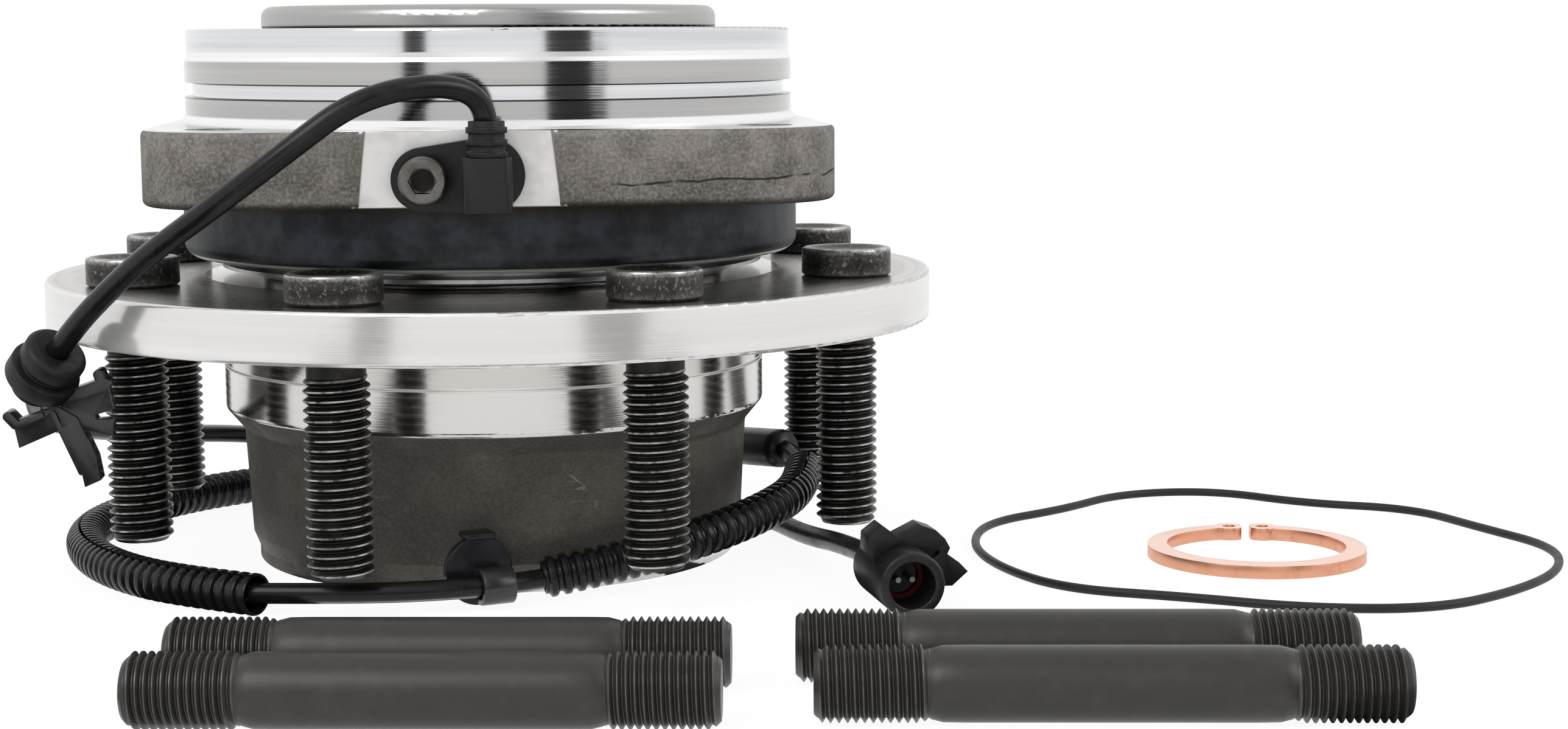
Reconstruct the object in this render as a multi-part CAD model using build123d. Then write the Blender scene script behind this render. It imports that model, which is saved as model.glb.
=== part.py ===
from build123d import *
import math
import os

# Front wheel hub and bearing unit for a heavy four-wheel-drive pickup, with its speed sensor harness and kit.
# Millimetres. Origin on the hub axis at the barrel's end face, +Z from the wheel side to the knuckle side.

# ---- Rows and rings: every bearing radius follows the rollers' pitch circle ----
row_pitch_r = 57.0
journal_r = row_pitch_r - 13.0
shoulder_r = row_pitch_r - 4.0
inboard_seat_r = row_pitch_r - 2.4
ring_land_r = row_pitch_r + 2.8
seal_bore_r = row_pitch_r + 6.6
ring_band_r = seal_bore_r + 6.9
knuckle_pilot_r = seal_bore_r + 5.8
pilot_step_r = knuckle_pilot_r - 0.5
mount_flange_half = ring_band_r + 3.0
lip_r = journal_r + 8.0
lip_inner_r = journal_r - 7.0

# ---- Wheel flange, wheel pilot and barrel (turning) ----
stud_head_r = 10.0
stud_head_clear = 4.5
stud_circle_r = ring_band_r + stud_head_clear + stud_head_r
flange_r = stud_circle_r + 16.5
flange_z = 55.0
flange_thick = 11.0
flange_edge = 0.8
pilot_r = 62.45
pilot_neck_r = 61.9
pilot_neck_z = 45.2
pilot_low_z = 35.6
pilot_fillet = 2.5
flange_root_land = 1.0
pilot_top_fillet = 3.0
pilot_edge = 1.5
shoulder_fillet = 1.5
barrel_top_r = 58.3
barrel_top_z = 30.6
barrel_foot_r = 57.0
barrel_foot_z = 6.5
rim_r = 55.6
rim_height = 3.0
hub_bore_r = 46.5
hub_bore_depth = 40.0
axle_bore_r = 30.0
axle_bore_start_z = 50.0

# ---- Journal and rolled lip (turning) ----
lip_bottom_z = 121.5
lip_top_z = 126.5
lip_round = 2.4
lip_under_round = 0.6
lip_inner_round = 1.2
bore_step_round = 2.0

# ---- Axle needle bush (turning) ----
bush_r = 27.0
bush_wall = 1.6
bush_start_z = 98.0
bush_length = 20.0
needle_r = 1.5
needle_count = 30
needle_gap = 0.15
bush_end_wall = 1.0
needle_end_gap = 0.3

# ---- Wheel studs (turning) ----
stud_count = 8
stud_phase = 22.5
stud_r = 6.85
stud_knurl_r = 7.35
stud_neck_r = 6.3
stud_neck_length = 3.4
stud_knurl_lead = 1.0
stud_end_z = 9.8
stud_head_height = 6.4
stud_head_edge = 0.7
stud_end_chamfer = 1.2

# ---- Tapered roller rows ----
roller_angle = 14.0
roller_mid_r = 4.6
roller_length = 9.5
roller_count = 26
race_gap = 0.08
rib_gap = 0.15
large_rib = 2.6
small_rib = 0.9
outboard_row_z = 81.0
inboard_row_z = 108.0
cone_back_length = 7.7
cone_nose_length = 6.9
cone_rib_thick = 2.0
cup_race_overrun = 0.8
cage_inner = 0.9
cage_wall = 1.4
cage_end_gap = 0.5
cage_end_ring = 1.1
cage_foot = 2.5
pocket_gap = 0.25

# ---- Tone ring (turning) ----
tone_ring_width = 5.0
tone_tooth_count = 48
tone_root_r = row_pitch_r - 3.6
tone_tip_r = row_pitch_r - 1.6
tooth_shares = ((tone_tip_r, 0.0), (tone_tip_r, 0.46), (tone_root_r, 0.5), (tone_root_r, 0.96))
spacer_wall = 3.5

# ---- Outer ring (fixed) ----
ring_bottom_z = 70.6
ring_top_z = 121.5
ring_band_round = 3.0
knuckle_pilot_z = 102.4
groove_z = 106.5
groove_width = 3.2
groove_depth = 1.75
pilot_step_z = 114.5
pilot_step_slope = 0.9
pilot_chamfer = 0.7
pilot_lead_in = 1.2
mount_flange_bottom_z = 84.6
mount_flange_top_z = 100.7
mount_corner_r = 24.0
mount_flange_edge = 1.5
mount_hole_r = 6.0
mount_hole_inset = 12.5
pad_depth = 0.5
pad_bottom_width = 41.8
pad_top_width = 38.2
pad_centre_x = -6.9
cutter_spare = 5.0

# ---- Seals ----
seal_wall = 0.9
case_setback = 0.2
outboard_case_depth = 2.6
inboard_case_depth = 3.8
case_inner_r = seal_bore_r - 5.2
lip_gap = 0.3
lip_reach = 1.8
lip_bead = 1.6
lip_skin = 0.5
lip_edge = 0.6
slinger_wall = 0.8
slinger_disc_r = seal_bore_r - 1.4
slinger_disc_z = 68.0
slinger_setback = 0.3
slinger_length = 5.0

# ---- Wheel speed sensor (fixed) ----
sensor_x = -1.2
sensor_z = 91.6
sensor_neck_r = 5.0
sensor_neck_length = 9.0
sensor_tip_r = 3.0
sensor_air_gap = 0.9
sensor_hole_gap = 0.1
sensor_disc_r = 7.7
sensor_plate = 4.5
sensor_block_width = 10.0
sensor_block_bottom_z = 84.4
sensor_block_top_z = 95.4
sensor_block_edge = 1.6
sensor_groove_start = 3.6
sensor_groove_depth = 1.0
sensor_groove_width = 2.0
sensor_tip_start = 8.8
sensor_seal_width = 1.8
ear_r = 6.5
screw_x = -14.2
screw_z = 90.8
screw_r = 3.0
screw_grip = 12.0
screw_head_r = 4.9
screw_head_height = 5.6
screw_head_edge = 0.5
hex_across = 5.0
hex_depth = 3.0
ear_bush_r = 4.2
ear_bush_gap = 0.1
boot_r = 4.2
boot_rib = 0.5
boot_rib_count = 3
boot_length = 7.4
boot_margin = 0.25

# ---- Harness ----
lead_r = 2.35
conduit_r = 4.5
sleeve_r = 4.7
fold_share = 0.45

sensor_lead_route = [
    (-1.2, -81.95, 101.5), (-1.5, -82.6, 105.4), (-4.6, -85.0, 108.9), (-11.5, -88.6, 110.2),
    (-20.5, -92.6, 109.0), (-29.0, -94.8, 105.6), (-38.0, -95.6, 99.0), (-48.5, -93.6, 91.2),
    (-59.0, -88.4, 83.6), (-69.5, -80.6, 76.2), (-80.0, -71.5, 67.0), (-87.2, -65.2, 59.4),
    (-92.6, -60.2, 52.5),
]
rear_lead_route = [
    (-94.6, -58.0, 49.4), (-97.8, -48.0, 44.0), (-99.6, -32.0, 38.0), (-99.6, -14.0, 33.2),
    (-97.6, 8.0, 28.6), (-92.2, 33.0, 24.0), (-81.6, 56.5, 19.8), (-66.2, 75.6, 16.6), (-47.0, 89.4, 12.0),
    (-28.0, 90.6, 5.6), (-4.0, 84.4, 4.4), (16.0, 75.2, 5.0), (33.0, 65.4, 6.8), (46.4, 54.2, 11.6),
    (57.6, 38.2, 16.8),
]
sleeve_route = [(57.0, 39.4, 16.6), (69.4, 12.0, 19.6)]
sleeve_lead_route = [(68.8, 13.4, 19.4), (71.4, 5.4, 18.9), (72.3, -3.4, 17.1)]
right_conduit_route = [
    (72.3, -2.0, 17.0), (69.6, -19.5, 15.4), (60.2, -37.4, 13.6), (45.0, -52.0, 11.0), (25.0, -61.0, 7.2),
    (9.0, -62.6, 4.9),
]
front_lead_route = [
    (11.0, -62.6, 4.9), (1.6, -68.6, 4.9), (-10.6, -72.8, 4.9), (-29.0, -73.6, 4.8), (-52.0, -69.0, 4.6),
]
left_conduit_route = [
    (-50.5, -70.4, 4.55), (-65.0, -60.6, 4.55), (-79.4, -46.6, 4.55), (-91.0, -25.6, 4.55),
    (-96.4, 0.0, 4.55), (-93.4, 22.4, 4.55), (-84.0, 44.0, 4.55), (-68.0, 62.6, 4.55), (-49.0, 75.6, 4.55),
]
plug_lead_route = [
    (-51.0, 74.2, 4.5), (-31.0, 69.4, 3.2), (-6.0, 66.6, 2.6), (19.0, 61.8, 2.6), (43.0, 48.6, 2.6),
    (58.6, 29.0, 2.6), (66.8, 7.0, 2.6), (71.4, -15.0, 3.2), (77.4, -38.5, 5.7), (80.9, -62.6, 7.2),
]

# ---- Lead grommet and routing clip ----
grommet_r = 7.5
grommet_front_r = 6.6
grommet_waist_r = 5.4
grommet_tail_r = 4.6
grommet_length = 13.0
grommet_front_thick = 4.0
grommet_groove = 1.6
grommet_flange_thick = 4.0
grommet_edge = 0.8
clip_y = -57.0
clip_depth = 6.0
clip_web_recess = 1.2
clip_left_hook = [(-99.9, 39.8), (-101.4, 41.5)]
clip_right_hook = [(-82.1, 48.2), (-82.7, 50.0)]
clip_hook_thick = 2.0
clip_left_rim = [(-99.9, 39.4), (-94.6, 41.6)]
clip_rim_thick = 1.2
clip_right_bar = [(-90.0, 44.9), (-81.6, 47.9)]
clip_bar_thick = 2.6
clip_thin_blade = [(-92.2, 42.0), (-86.9, 29.4)]
clip_blade_thick = 1.1
clip_wide_blade = [
    (-91.4, 43.5), (-87.2, 41.0), (-86.1, 38.3), (-83.7, 32.5), (-82.9, 27.7), (-86.2, 26.3), (-86.9, 30.0),
    (-90.2, 38.4),
]
clip_left_web = [
    (-100.3, 38.8), (-99.5, 34.7), (-91.7, 38.0), (-89.6, 39.4), (-90.0, 43.4), (-92.5, 43.0), (-95.5, 42.0),
    (-99.8, 40.6),
]
clip_right_web = [
    (-91.0, 44.0), (-80.9, 46.9), (-80.0, 42.4), (-84.0, 41.3), (-83.4, 40.3), (-80.1, 40.4), (-80.2, 36.9),
    (-86.1, 38.4), (-89.0, 38.6),
]
clip_grip_gap = 0.05

# ---- Front button clip ----
strap_x = -1.1
strap_wall = 1.6
strap_width = 7.2
strap_saddle_width = 6.0
button_r = 7.4
button_thick = 2.2
button_rise = 2.6
button_set_back = 2.1
tab_width = 6.6
tab_height = 1.4
tab_depth = 5.4
tab_sink = 0.5

# ---- Sensor plug ----
plug_tail = (81.0, -61.5, 7.2)
plug_face = (84.3, -91.3, 7.0)
plug_r = 6.95
plug_cavity_r = 4.9
plug_cavity_depth = 12.0
plug_boss_r = 3.9
plug_boss_length = 5.0
plug_shoulder = 2.0
plug_mouth_edge = 0.4
plug_pin_r = 0.6
plug_pin_length = 6.0
plug_pin_half_gap = 1.5
plug_seal_wall = 1.0
plug_seal_length = 1.8
latch_set_back = 14.5
latch_thick = 7.0
latch_outline = [
    (-4.5, 11.4), (-1.0, 8.7), (3.9, 11.0), (7.0, 9.9), (9.0, 8.0), (10.1, 6.0), (9.5, 4.7), (12.1, 2.8),
    (14.0, 0.8), (10.6, -2.1), (5.0, -2.0), (-5.0, 2.0), (-7.6, 5.6), (-7.4, 9.2),
]
latch_slit = [(5.8, 4.0), (7.3, 5.1)]
latch_slit_width = 1.1

# ---- Fitting kit, laid beside the hub ----
kit_turn = -7.5
kit_stud_r = 6.85
kit_stud_length = 104.0
kit_stud_thread = 21.0
kit_stud_relief = 0.25
kit_stud_relief_width = 1.0
kit_stud_chamfer = 1.6
kit_stud_places = [(-13.8, -164.1), (-9.7, -137.6), (105.7, -175.0), (105.9, -146.2)]
kit_stud_ends = [1, 1, -1, -1]
o_ring_r = 1.0
ground_gap = 0.02
o_ring_route = [
    (109.7, -19.0), (118.5, 6.7), (140.9, 21.3), (159.9, 41.0), (185.6, 42.1), (203.3, 21.3), (227.6, 10.4),
    (234.9, -16.0), (243.1, -41.5), (233.9, -66.7), (215.7, -86.0), (192.9, -100.4), (166.4, -96.4),
    (144.0, -82.2), (120.2, -70.8), (110.6, -45.3),
]
snap_ring_centre = (172.8, -38.4)
snap_ring_r = 24.8
snap_ring_bore_r = 20.3
snap_ring_offset = 0.7
snap_ring_thick = 2.9
snap_ring_gap = 2.2
snap_lug_r = 3.4
snap_lug_hole_r = 1.5
snap_lug_spread = 3.9
snap_lug_x = 22.8
snap_ring_turn = 80.0


def turned(outline, radii=None):
    """Turn a closed outline of (radius, height) points about the hub axis, with optional corner radii."""
    corners = [0.0] * len(outline) if radii is None else radii
    edge = FilletPolyline(*[(r, z) for r, z in outline], radius=corners, close=True)
    return revolve(Plane.XZ * make_face(edge), Axis.Z)


def ring(inner_r, outer_r, bottom_z, height):
    """Plain ring about the hub axis."""
    tube_face = Circle(outer_r) - Circle(inner_r)
    return Pos(0, 0, bottom_z) * extrude(tube_face, height)


def around(count, phase, shape):
    """Copies of a shape, evenly spaced about the hub axis."""
    return [Rot(0, 0, phase + 360.0 * number / count) * shape for number in range(count)]


def corner_radii(points):
    """Largest tangent arcs that the runs on both sides of each corner allow."""
    radii = []
    for before, corner, after in zip(points, points[1:], points[2:]):
        run_in = Vector(*corner) - Vector(*before)
        run_out = Vector(*after) - Vector(*corner)
        half_turn = math.radians(run_in.get_angle(run_out)) / 2
        radii.append(fold_share * min(run_in.length, run_out.length) / math.tan(half_turn))
    return radii


def cord(name, points, radius):
    """Round tube along straight runs joined by tangent arcs."""
    radii = corner_radii(points)
    path = FilletPolyline(*points, radius=radii) if radii else Line(*points)
    profile = Plane(path @ 0, z_dir=path % 0) * Circle(radius)
    tube = sweep(profile, path=path)
    whole = math.pi * radius**2 * path.length
    rounded = [round(value, 1) for value in radii]
    print(f"{name}: length {path.length:.1f}, volume {tube.volume / whole:.4f} of whole, radii {rounded}")
    return tube


# ---- Roller row geometry, in the row's own half plane with the rollers' large ends down ----
slant = row_pitch_r / math.sin(math.radians(roller_angle))
half_roller = roller_length / 2


def roller_radius(along):
    """Radius of a roller at a distance along its axis, positive towards its small end."""
    return roller_mid_r * (1 - along / slant)


def row_point(along, across):
    """(radius, height) of a point given along and across the roller axis."""
    angle = math.radians(roller_angle)
    radius = row_pitch_r - along * math.sin(angle) + across * math.cos(angle)
    return radius, along * math.cos(angle) + across * math.sin(angle)


def roller(growth, extra_length):
    """One tapered roller in its place, with an optional growth for cutting its pocket."""
    half = half_roller + extra_length
    body = Cone(roller_radius(-half) + growth, roller_radius(half) + growth, 2 * half)
    return Pos(row_pitch_r, 0, 0) * Rot(0, -roller_angle, 0) * body


def make_rollers():
    return around(roller_count, 0.0, roller(0.0, 0.0))


def make_cage():
    """Tapered cage with one pocket for each roller and a foot at the small end."""
    end = half_roller + cage_end_gap
    outer = cage_inner + cage_wall
    outline = [
        row_point(-end - cage_end_ring, cage_inner), row_point(-end - cage_end_ring, outer),
        row_point(end + cage_end_ring, outer), row_point(end + cage_end_ring, -cage_foot),
        row_point(end, -cage_foot), row_point(end, cage_inner),
    ]
    blank = turned(outline)
    return blank - around(roller_count, 0.0, roller(pocket_gap, pocket_gap))


def make_cone(back_length, seat_r):
    """Inner ring of one row: bore, seal seat, thrust rib, tapered race and small rib."""
    end = half_roller + rib_gap
    low = -roller_radius(-end) - race_gap
    high = -roller_radius(end) - race_gap
    thrust_r, thrust_z = row_point(-end, low + large_rib)
    nose_r, nose_z = row_point(end, high + small_rib)
    outline = [
        (journal_r, -back_length), (seat_r, -back_length), (seat_r, thrust_z - cone_rib_thick),
        (thrust_r, thrust_z - cone_rib_thick), (thrust_r, thrust_z), row_point(-end, low),
        row_point(end, high), (nose_r, nose_z), (nose_r - small_rib, cone_nose_length),
        (journal_r, cone_nose_length),
    ]
    return turned(outline)


def outboard(shape):
    return Pos(0, 0, outboard_row_z) * shape


def inboard(shape):
    return Pos(0, 0, inboard_row_z) * Rot(180, 0, 0) * shape


# ---- Turning pieces ----
flange_top_z = flange_z + flange_thick
outboard_back_z = outboard_row_z - cone_back_length
inboard_back_length = lip_bottom_z - inboard_row_z
tone_ring_z = sensor_z - tone_ring_width / 2
spacer_bottom_z = outboard_row_z + cone_nose_length
spacer_top_z = inboard_row_z - cone_nose_length
slinger_top_z = ring_top_z - slinger_setback


flange_root_r = pilot_neck_r + pilot_fillet + flange_root_land


def make_spindle():
    """Pilot, barrel, journal and rolled lip, up to the root of the wheel flange."""
    outline = [
        (hub_bore_r, 0.0), (rim_r, 0.0), (rim_r, rim_height), (barrel_foot_r, barrel_foot_z),
        (barrel_top_r, barrel_top_z), (pilot_r, pilot_low_z), (pilot_r, pilot_neck_z),
        (pilot_neck_r, pilot_neck_z), (pilot_neck_r, flange_z), (flange_root_r, flange_z),
        (flange_root_r, flange_top_z), (shoulder_r, flange_top_z), (shoulder_r, outboard_back_z),
        (journal_r, outboard_back_z), (journal_r, lip_bottom_z),
        (lip_r, lip_bottom_z), (lip_r, lip_top_z), (lip_inner_r, lip_top_z),
        (bush_r, bush_start_z + bush_length), (bush_r, bush_start_z), (axle_bore_r, bush_start_z),
        (axle_bore_r, axle_bore_start_z), (hub_bore_r, hub_bore_depth),
    ]
    radii = [
        0.0, flange_edge, 0.0, 0.0, pilot_top_fillet, pilot_edge, 0.0, 0.0, pilot_fillet, 0.0, 0.0,
        shoulder_fillet, 0.0, 0.0, 0.0, lip_under_round, lip_round, lip_inner_round, 0.0, 0.0, 0.0,
        bore_step_round, bore_step_round,
    ]
    return turned(outline, radii)


def make_wheel_flange():
    """Studded disc round the spindle, with a pressed-stud hole for each stud."""
    outline = [
        (flange_root_r, flange_z), (flange_r, flange_z), (flange_r, flange_top_z),
        (flange_root_r, flange_top_z),
    ]
    disc = turned(outline, [0.0, flange_edge, flange_edge, 0.0])
    hole = Pos(stud_circle_r, 0, flange_z + flange_thick / 2) * Cylinder(stud_knurl_r, 2 * flange_thick)
    return disc - around(stud_count, stud_phase, hole)


def make_wheel_studs():
    """Pressed-in wheel studs: head, knurl, neck and threaded shank."""
    neck_top = flange_z + stud_knurl_lead
    head_top = flange_top_z + stud_head_height
    outline = [
        (0.0, stud_end_z), (stud_r - stud_end_chamfer, stud_end_z), (stud_r, stud_end_z + stud_end_chamfer),
        (stud_r, neck_top - stud_neck_length), (stud_neck_r, neck_top - stud_neck_length),
        (stud_neck_r, neck_top), (stud_knurl_r, neck_top), (stud_knurl_r, flange_top_z),
        (stud_head_r, flange_top_z + stud_head_edge), (stud_head_r, head_top - stud_head_edge),
        (stud_head_r - stud_head_edge, head_top), (0.0, head_top),
    ]
    return around(stud_count, stud_phase, Pos(stud_circle_r, 0, 0) * turned(outline))


def make_spacer():
    return ring(journal_r, journal_r + spacer_wall, spacer_bottom_z, spacer_top_z - spacer_bottom_z)


def make_tone_ring():
    """Toothed target ring read by the sensor, pressed on the cone spacer."""
    pitch = 2 * math.pi / tone_tooth_count
    outline = []
    for number in range(tone_tooth_count):
        start = number * pitch
        for radius, share in tooth_shares:
            angle = start + share * pitch
            outline.append((radius * math.cos(angle), radius * math.sin(angle)))
    face = make_face(Polyline(*outline, close=True)) - Circle(journal_r + spacer_wall)
    return Pos(0, 0, tone_ring_z) * extrude(face, tone_ring_width)


def make_slinger(sleeve_inner_r, start_z, end_z, disc_z):
    """Flinger: a short sleeve with a thin disc."""
    sleeve = ring(sleeve_inner_r, sleeve_inner_r + slinger_wall, start_z, end_z - start_z)
    return sleeve + ring(sleeve_inner_r, slinger_disc_r, disc_z, slinger_wall)


def make_axle_bush():
    """Drawn cup of the axle needle bearing, with turned-in ends."""
    shell = ring(bush_r - bush_wall, bush_r, bush_start_z, bush_length)
    turned_in = bush_r - bush_wall - needle_r
    low = ring(turned_in, bush_r, bush_start_z, bush_end_wall)
    high = ring(turned_in, bush_r, bush_start_z + bush_length - bush_end_wall, bush_end_wall)
    return shell + low + high


def make_axle_needles():
    circle = bush_r - bush_wall - needle_r - needle_gap
    length = bush_length - 2 * (bush_end_wall + needle_end_gap)
    needle = Pos(circle, 0, bush_start_z + bush_length / 2) * Cylinder(needle_r, length)
    return around(needle_count, 0.0, needle)


# ---- Fixed pieces ----
pad_y = -(mount_flange_half - pad_depth)
sensor_block_depth = 2 * (boot_r + boot_margin)
boot_y = pad_y - sensor_plate - sensor_block_depth / 2
mount_flange_mid_z = (mount_flange_bottom_z + mount_flange_top_z) / 2
mount_flange_thick = mount_flange_top_z - mount_flange_bottom_z
mount_corner_centre = math.sqrt(2) * (mount_flange_half - mount_corner_r)
mount_circle_r = mount_corner_centre + mount_corner_r - mount_hole_inset


def cup_race(end_sign):
    """End point of a cup race, just past the roller's large (-1) or small (1) end."""
    along = end_sign * (half_roller + cup_race_overrun)
    radius, height = row_point(along, roller_radius(along) + race_gap)
    return radius, height


def make_outer_ring():
    """Double cup with knuckle pilot and O-ring groove."""
    large_r, large_z = cup_race(-1)
    small_r, small_z = cup_race(1)
    outline = [
        (seal_bore_r, ring_bottom_z), (ring_band_r, ring_bottom_z),
        (ring_band_r, knuckle_pilot_z - pilot_lead_in), (knuckle_pilot_r, knuckle_pilot_z),
        (knuckle_pilot_r, groove_z), (knuckle_pilot_r - groove_depth, groove_z),
        (knuckle_pilot_r - groove_depth, groove_z + groove_width), (knuckle_pilot_r, groove_z + groove_width),
        (knuckle_pilot_r, pilot_step_z), (pilot_step_r, pilot_step_z + pilot_step_slope),
        (pilot_step_r, ring_top_z),
        (seal_bore_r, ring_top_z), (seal_bore_r, inboard_row_z - large_z), (large_r, inboard_row_z - large_z),
        (small_r, inboard_row_z - small_z), (ring_land_r, inboard_row_z - small_z),
        (ring_land_r, outboard_row_z + small_z), (small_r, outboard_row_z + small_z),
        (large_r, outboard_row_z + large_z), (seal_bore_r, outboard_row_z + large_z),
    ]
    radii = [0.0] * len(outline)
    radii[1] = ring_band_round
    radii[outline.index((pilot_step_r, ring_top_z))] = pilot_chamfer
    return turned(outline, radii) - make_sensor_holes()


def make_mount_flange():
    """Rounded square four-bolt flange round the outer ring, with the milled sensor pad."""
    plate = Pos(0, 0, mount_flange_bottom_z) * extrude(
        RectangleRounded(2 * mount_flange_half, 2 * mount_flange_half, mount_corner_r), mount_flange_thick
    )
    plate = fillet(plate.edges().group_by(Axis.Z)[0] + plate.edges().group_by(Axis.Z)[-1], mount_flange_edge)
    plate -= Pos(0, 0, mount_flange_mid_z) * Cylinder(ring_band_r, 2 * mount_flange_thick)
    plate -= make_pad_cut()
    hole = Pos(mount_circle_r, 0, mount_flange_mid_z) * Cylinder(mount_hole_r, 2 * mount_flange_thick)
    plate -= around(4, 45.0, hole)
    return plate - make_sensor_holes()


def make_sensor_holes():
    """Stepped hole for the sensor's neck and tip, and the screw's hole beside it."""
    sensor_hole = across_hole(sensor_x, sensor_z, sensor_neck_r + sensor_hole_gap, pad_y + sensor_neck_length)
    tip_hole = across_hole(sensor_x, sensor_z, sensor_tip_r + sensor_hole_gap, pad_y + mount_flange_half / 2)
    screw_hole = across_hole(screw_x, screw_z, screw_r, pad_y + screw_grip)
    return sensor_hole + tip_hole + screw_hole


def across_hole(x, z, radius, end_y):
    """Cutter along Y from in front of the sensor pad to end_y."""
    start_y = -mount_flange_half - cutter_spare
    length = end_y - start_y
    return Pos(x, start_y + length / 2, z) * Rot(90, 0, 0) * Cylinder(radius, length)


def make_pad_cut():
    """Milled flat behind the sensor, a shallow trapezoid in the flange's front face."""
    half_low = pad_bottom_width / 2
    half_high = pad_top_width / 2
    low = mount_flange_bottom_z - cutter_spare
    high = mount_flange_top_z + cutter_spare
    corners = [(-half_low, low), (half_low, low), (half_high, high), (-half_high, high)]
    plane = Plane((pad_centre_x, pad_y, 0), x_dir=(1, 0, 0), z_dir=(0, -1, 0))
    return extrude(plane * make_face(Polyline(*corners, close=True)), cutter_spare)


def make_seal_case(mouth_z, inward, depth):
    """Pressed seal case: wall in the ring's seal bore and an inward web."""
    far = mouth_z + inward * (case_setback + depth)
    near = mouth_z + inward * case_setback
    web = far - inward * seal_wall
    outline = [
        (seal_bore_r, near), (seal_bore_r, far), (case_inner_r, far), (case_inner_r, web),
        (seal_bore_r - seal_wall, web), (seal_bore_r - seal_wall, near),
    ]
    return turned(outline)


def make_seal_lip(mouth_z, inward, depth, seat_r):
    """Rubber lip moulded on the case web, running beside the flinger's sleeve."""
    far = mouth_z + inward * (case_setback + depth)
    web = far - inward * seal_wall
    skin = web - inward * lip_skin
    toe = web - inward * lip_reach
    inner = seat_r + slinger_wall + lip_gap
    outline = [
        (case_inner_r, far), (case_inner_r, web), (case_inner_r + lip_bead, web),
        (case_inner_r + lip_bead, skin),
        (inner + 2 * lip_edge, skin), (inner + lip_edge, toe), (inner, toe), (inner, far),
    ]
    return turned(outline)


def make_sensor_body():
    """Moulded sensor head: fixing ear, round flange and the upright block."""
    plane = Plane((0, pad_y, 0), x_dir=(1, 0, 0), z_dir=(0, -1, 0))
    ear = Sketch() + [Pos(screw_x, screw_z) * Circle(ear_r), Pos(sensor_x, sensor_z) * Circle(sensor_disc_r)]
    plate = extrude(plane * make_hull(ear.edges()), sensor_plate)
    plate -= across_hole(screw_x, screw_z, ear_bush_r, pad_y + cutter_spare)
    height = sensor_block_top_z - sensor_block_bottom_z
    total = sensor_plate + sensor_block_depth
    block = Box(sensor_block_width, total, height)
    block = fillet(block.edges().filter_by(Axis.Z), sensor_block_edge)
    block = Pos(sensor_x, pad_y - total / 2, sensor_block_bottom_z + height / 2) * block
    return plate + block


def make_sensor_probe():
    """Sealing neck and pole tip, reaching to the tone ring."""
    groove_end = sensor_groove_start + sensor_groove_width
    groove_r = sensor_neck_r - sensor_groove_depth
    reach = -pad_y - tone_tip_r - sensor_air_gap
    outline = [
        (0.0, 0.0), (sensor_neck_r, 0.0), (sensor_neck_r, sensor_groove_start),
        (groove_r, sensor_groove_start), (groove_r, groove_end), (sensor_neck_r, groove_end),
        (sensor_neck_r, sensor_tip_start - ear_bush_gap), (sensor_tip_r, sensor_tip_start),
        (sensor_tip_r, reach), (0.0, reach),
    ]
    return Pos(sensor_x, pad_y, sensor_z) * Rot(-90, 0, 0) * turned(outline)


def make_sensor_seal():
    """O-ring in the neck's groove."""
    start = pad_y + sensor_groove_start + (sensor_groove_width - sensor_seal_width) / 2
    seal = Circle(sensor_neck_r + sensor_hole_gap / 2) - Circle(sensor_neck_r - sensor_groove_depth)
    plane = Plane((sensor_x, start, sensor_z), x_dir=(1, 0, 0), z_dir=(0, 1, 0))
    return extrude(plane * seal, sensor_seal_width)


def make_sensor_bush():
    """Steel compression bush in the fixing ear."""
    plane = Plane((screw_x, pad_y, screw_z), x_dir=(1, 0, 0), z_dir=(0, -1, 0))
    return extrude(plane * (Circle(ear_bush_r) - Circle(screw_r + ear_bush_gap)), sensor_plate)


def make_sensor_screw():
    """Socket head cap screw through the ear into the outer ring."""
    top = sensor_plate + screw_head_height
    outline = [
        (0.0, -screw_grip), (screw_r, -screw_grip), (screw_r, sensor_plate), (screw_head_r, sensor_plate),
        (screw_head_r, top - screw_head_edge), (screw_head_r - screw_head_edge, top), (0.0, top),
    ]
    hexagon = RegularPolygon(hex_across / 2, 6, major_radius=False)
    socket = Pos(0, 0, top - hex_depth) * extrude(hexagon, hex_depth + cutter_spare)
    return Pos(screw_x, pad_y, screw_z) * Rot(90, 0, 0) * (turned(outline) - socket)


def make_sensor_boot():
    """Ribbed strain relief on top of the sensor block."""
    base = sensor_block_top_z
    pitch = boot_length / boot_rib_count
    outline = [(lead_r, base), (boot_r, base)]
    for number in range(boot_rib_count):
        middle = base + (number + 0.5) * pitch
        top = base + (number + 1) * pitch
        outline += [(boot_r, middle), (boot_r - boot_rib, middle), (boot_r - boot_rib, top)]
        if number < boot_rib_count - 1:
            outline += [(boot_r, top)]
    outline += [(lead_r, base + boot_length)]
    return Pos(sensor_x, boot_y, 0) * turned(outline)


# ---- Clips, grommet and plug ----
def along_line(start, end):
    """Plane at the start point whose normal points to the end point."""
    return Plane(Vector(*start), z_dir=Vector(*end) - Vector(*start))


def grommet_outline(growth, bore_r):
    """Section of the grommet: front disc, gripped groove, flange and tail."""
    half = grommet_length / 2
    front_end = half - grommet_front_thick
    flange_start = front_end - grommet_groove
    flange_end = flange_start - grommet_flange_thick
    return [
        (bore_r, half + growth), (grommet_front_r - grommet_edge + growth, half + growth),
        (grommet_front_r + growth, half - grommet_edge), (grommet_front_r + growth, front_end),
        (grommet_waist_r + growth, front_end), (grommet_waist_r + growth, flange_start),
        (grommet_r + growth, flange_start), (grommet_r + growth, flange_end),
        (grommet_tail_r + growth, flange_end), (grommet_tail_r + growth, -half - growth),
        (bore_r, -half - growth),
    ]


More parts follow.
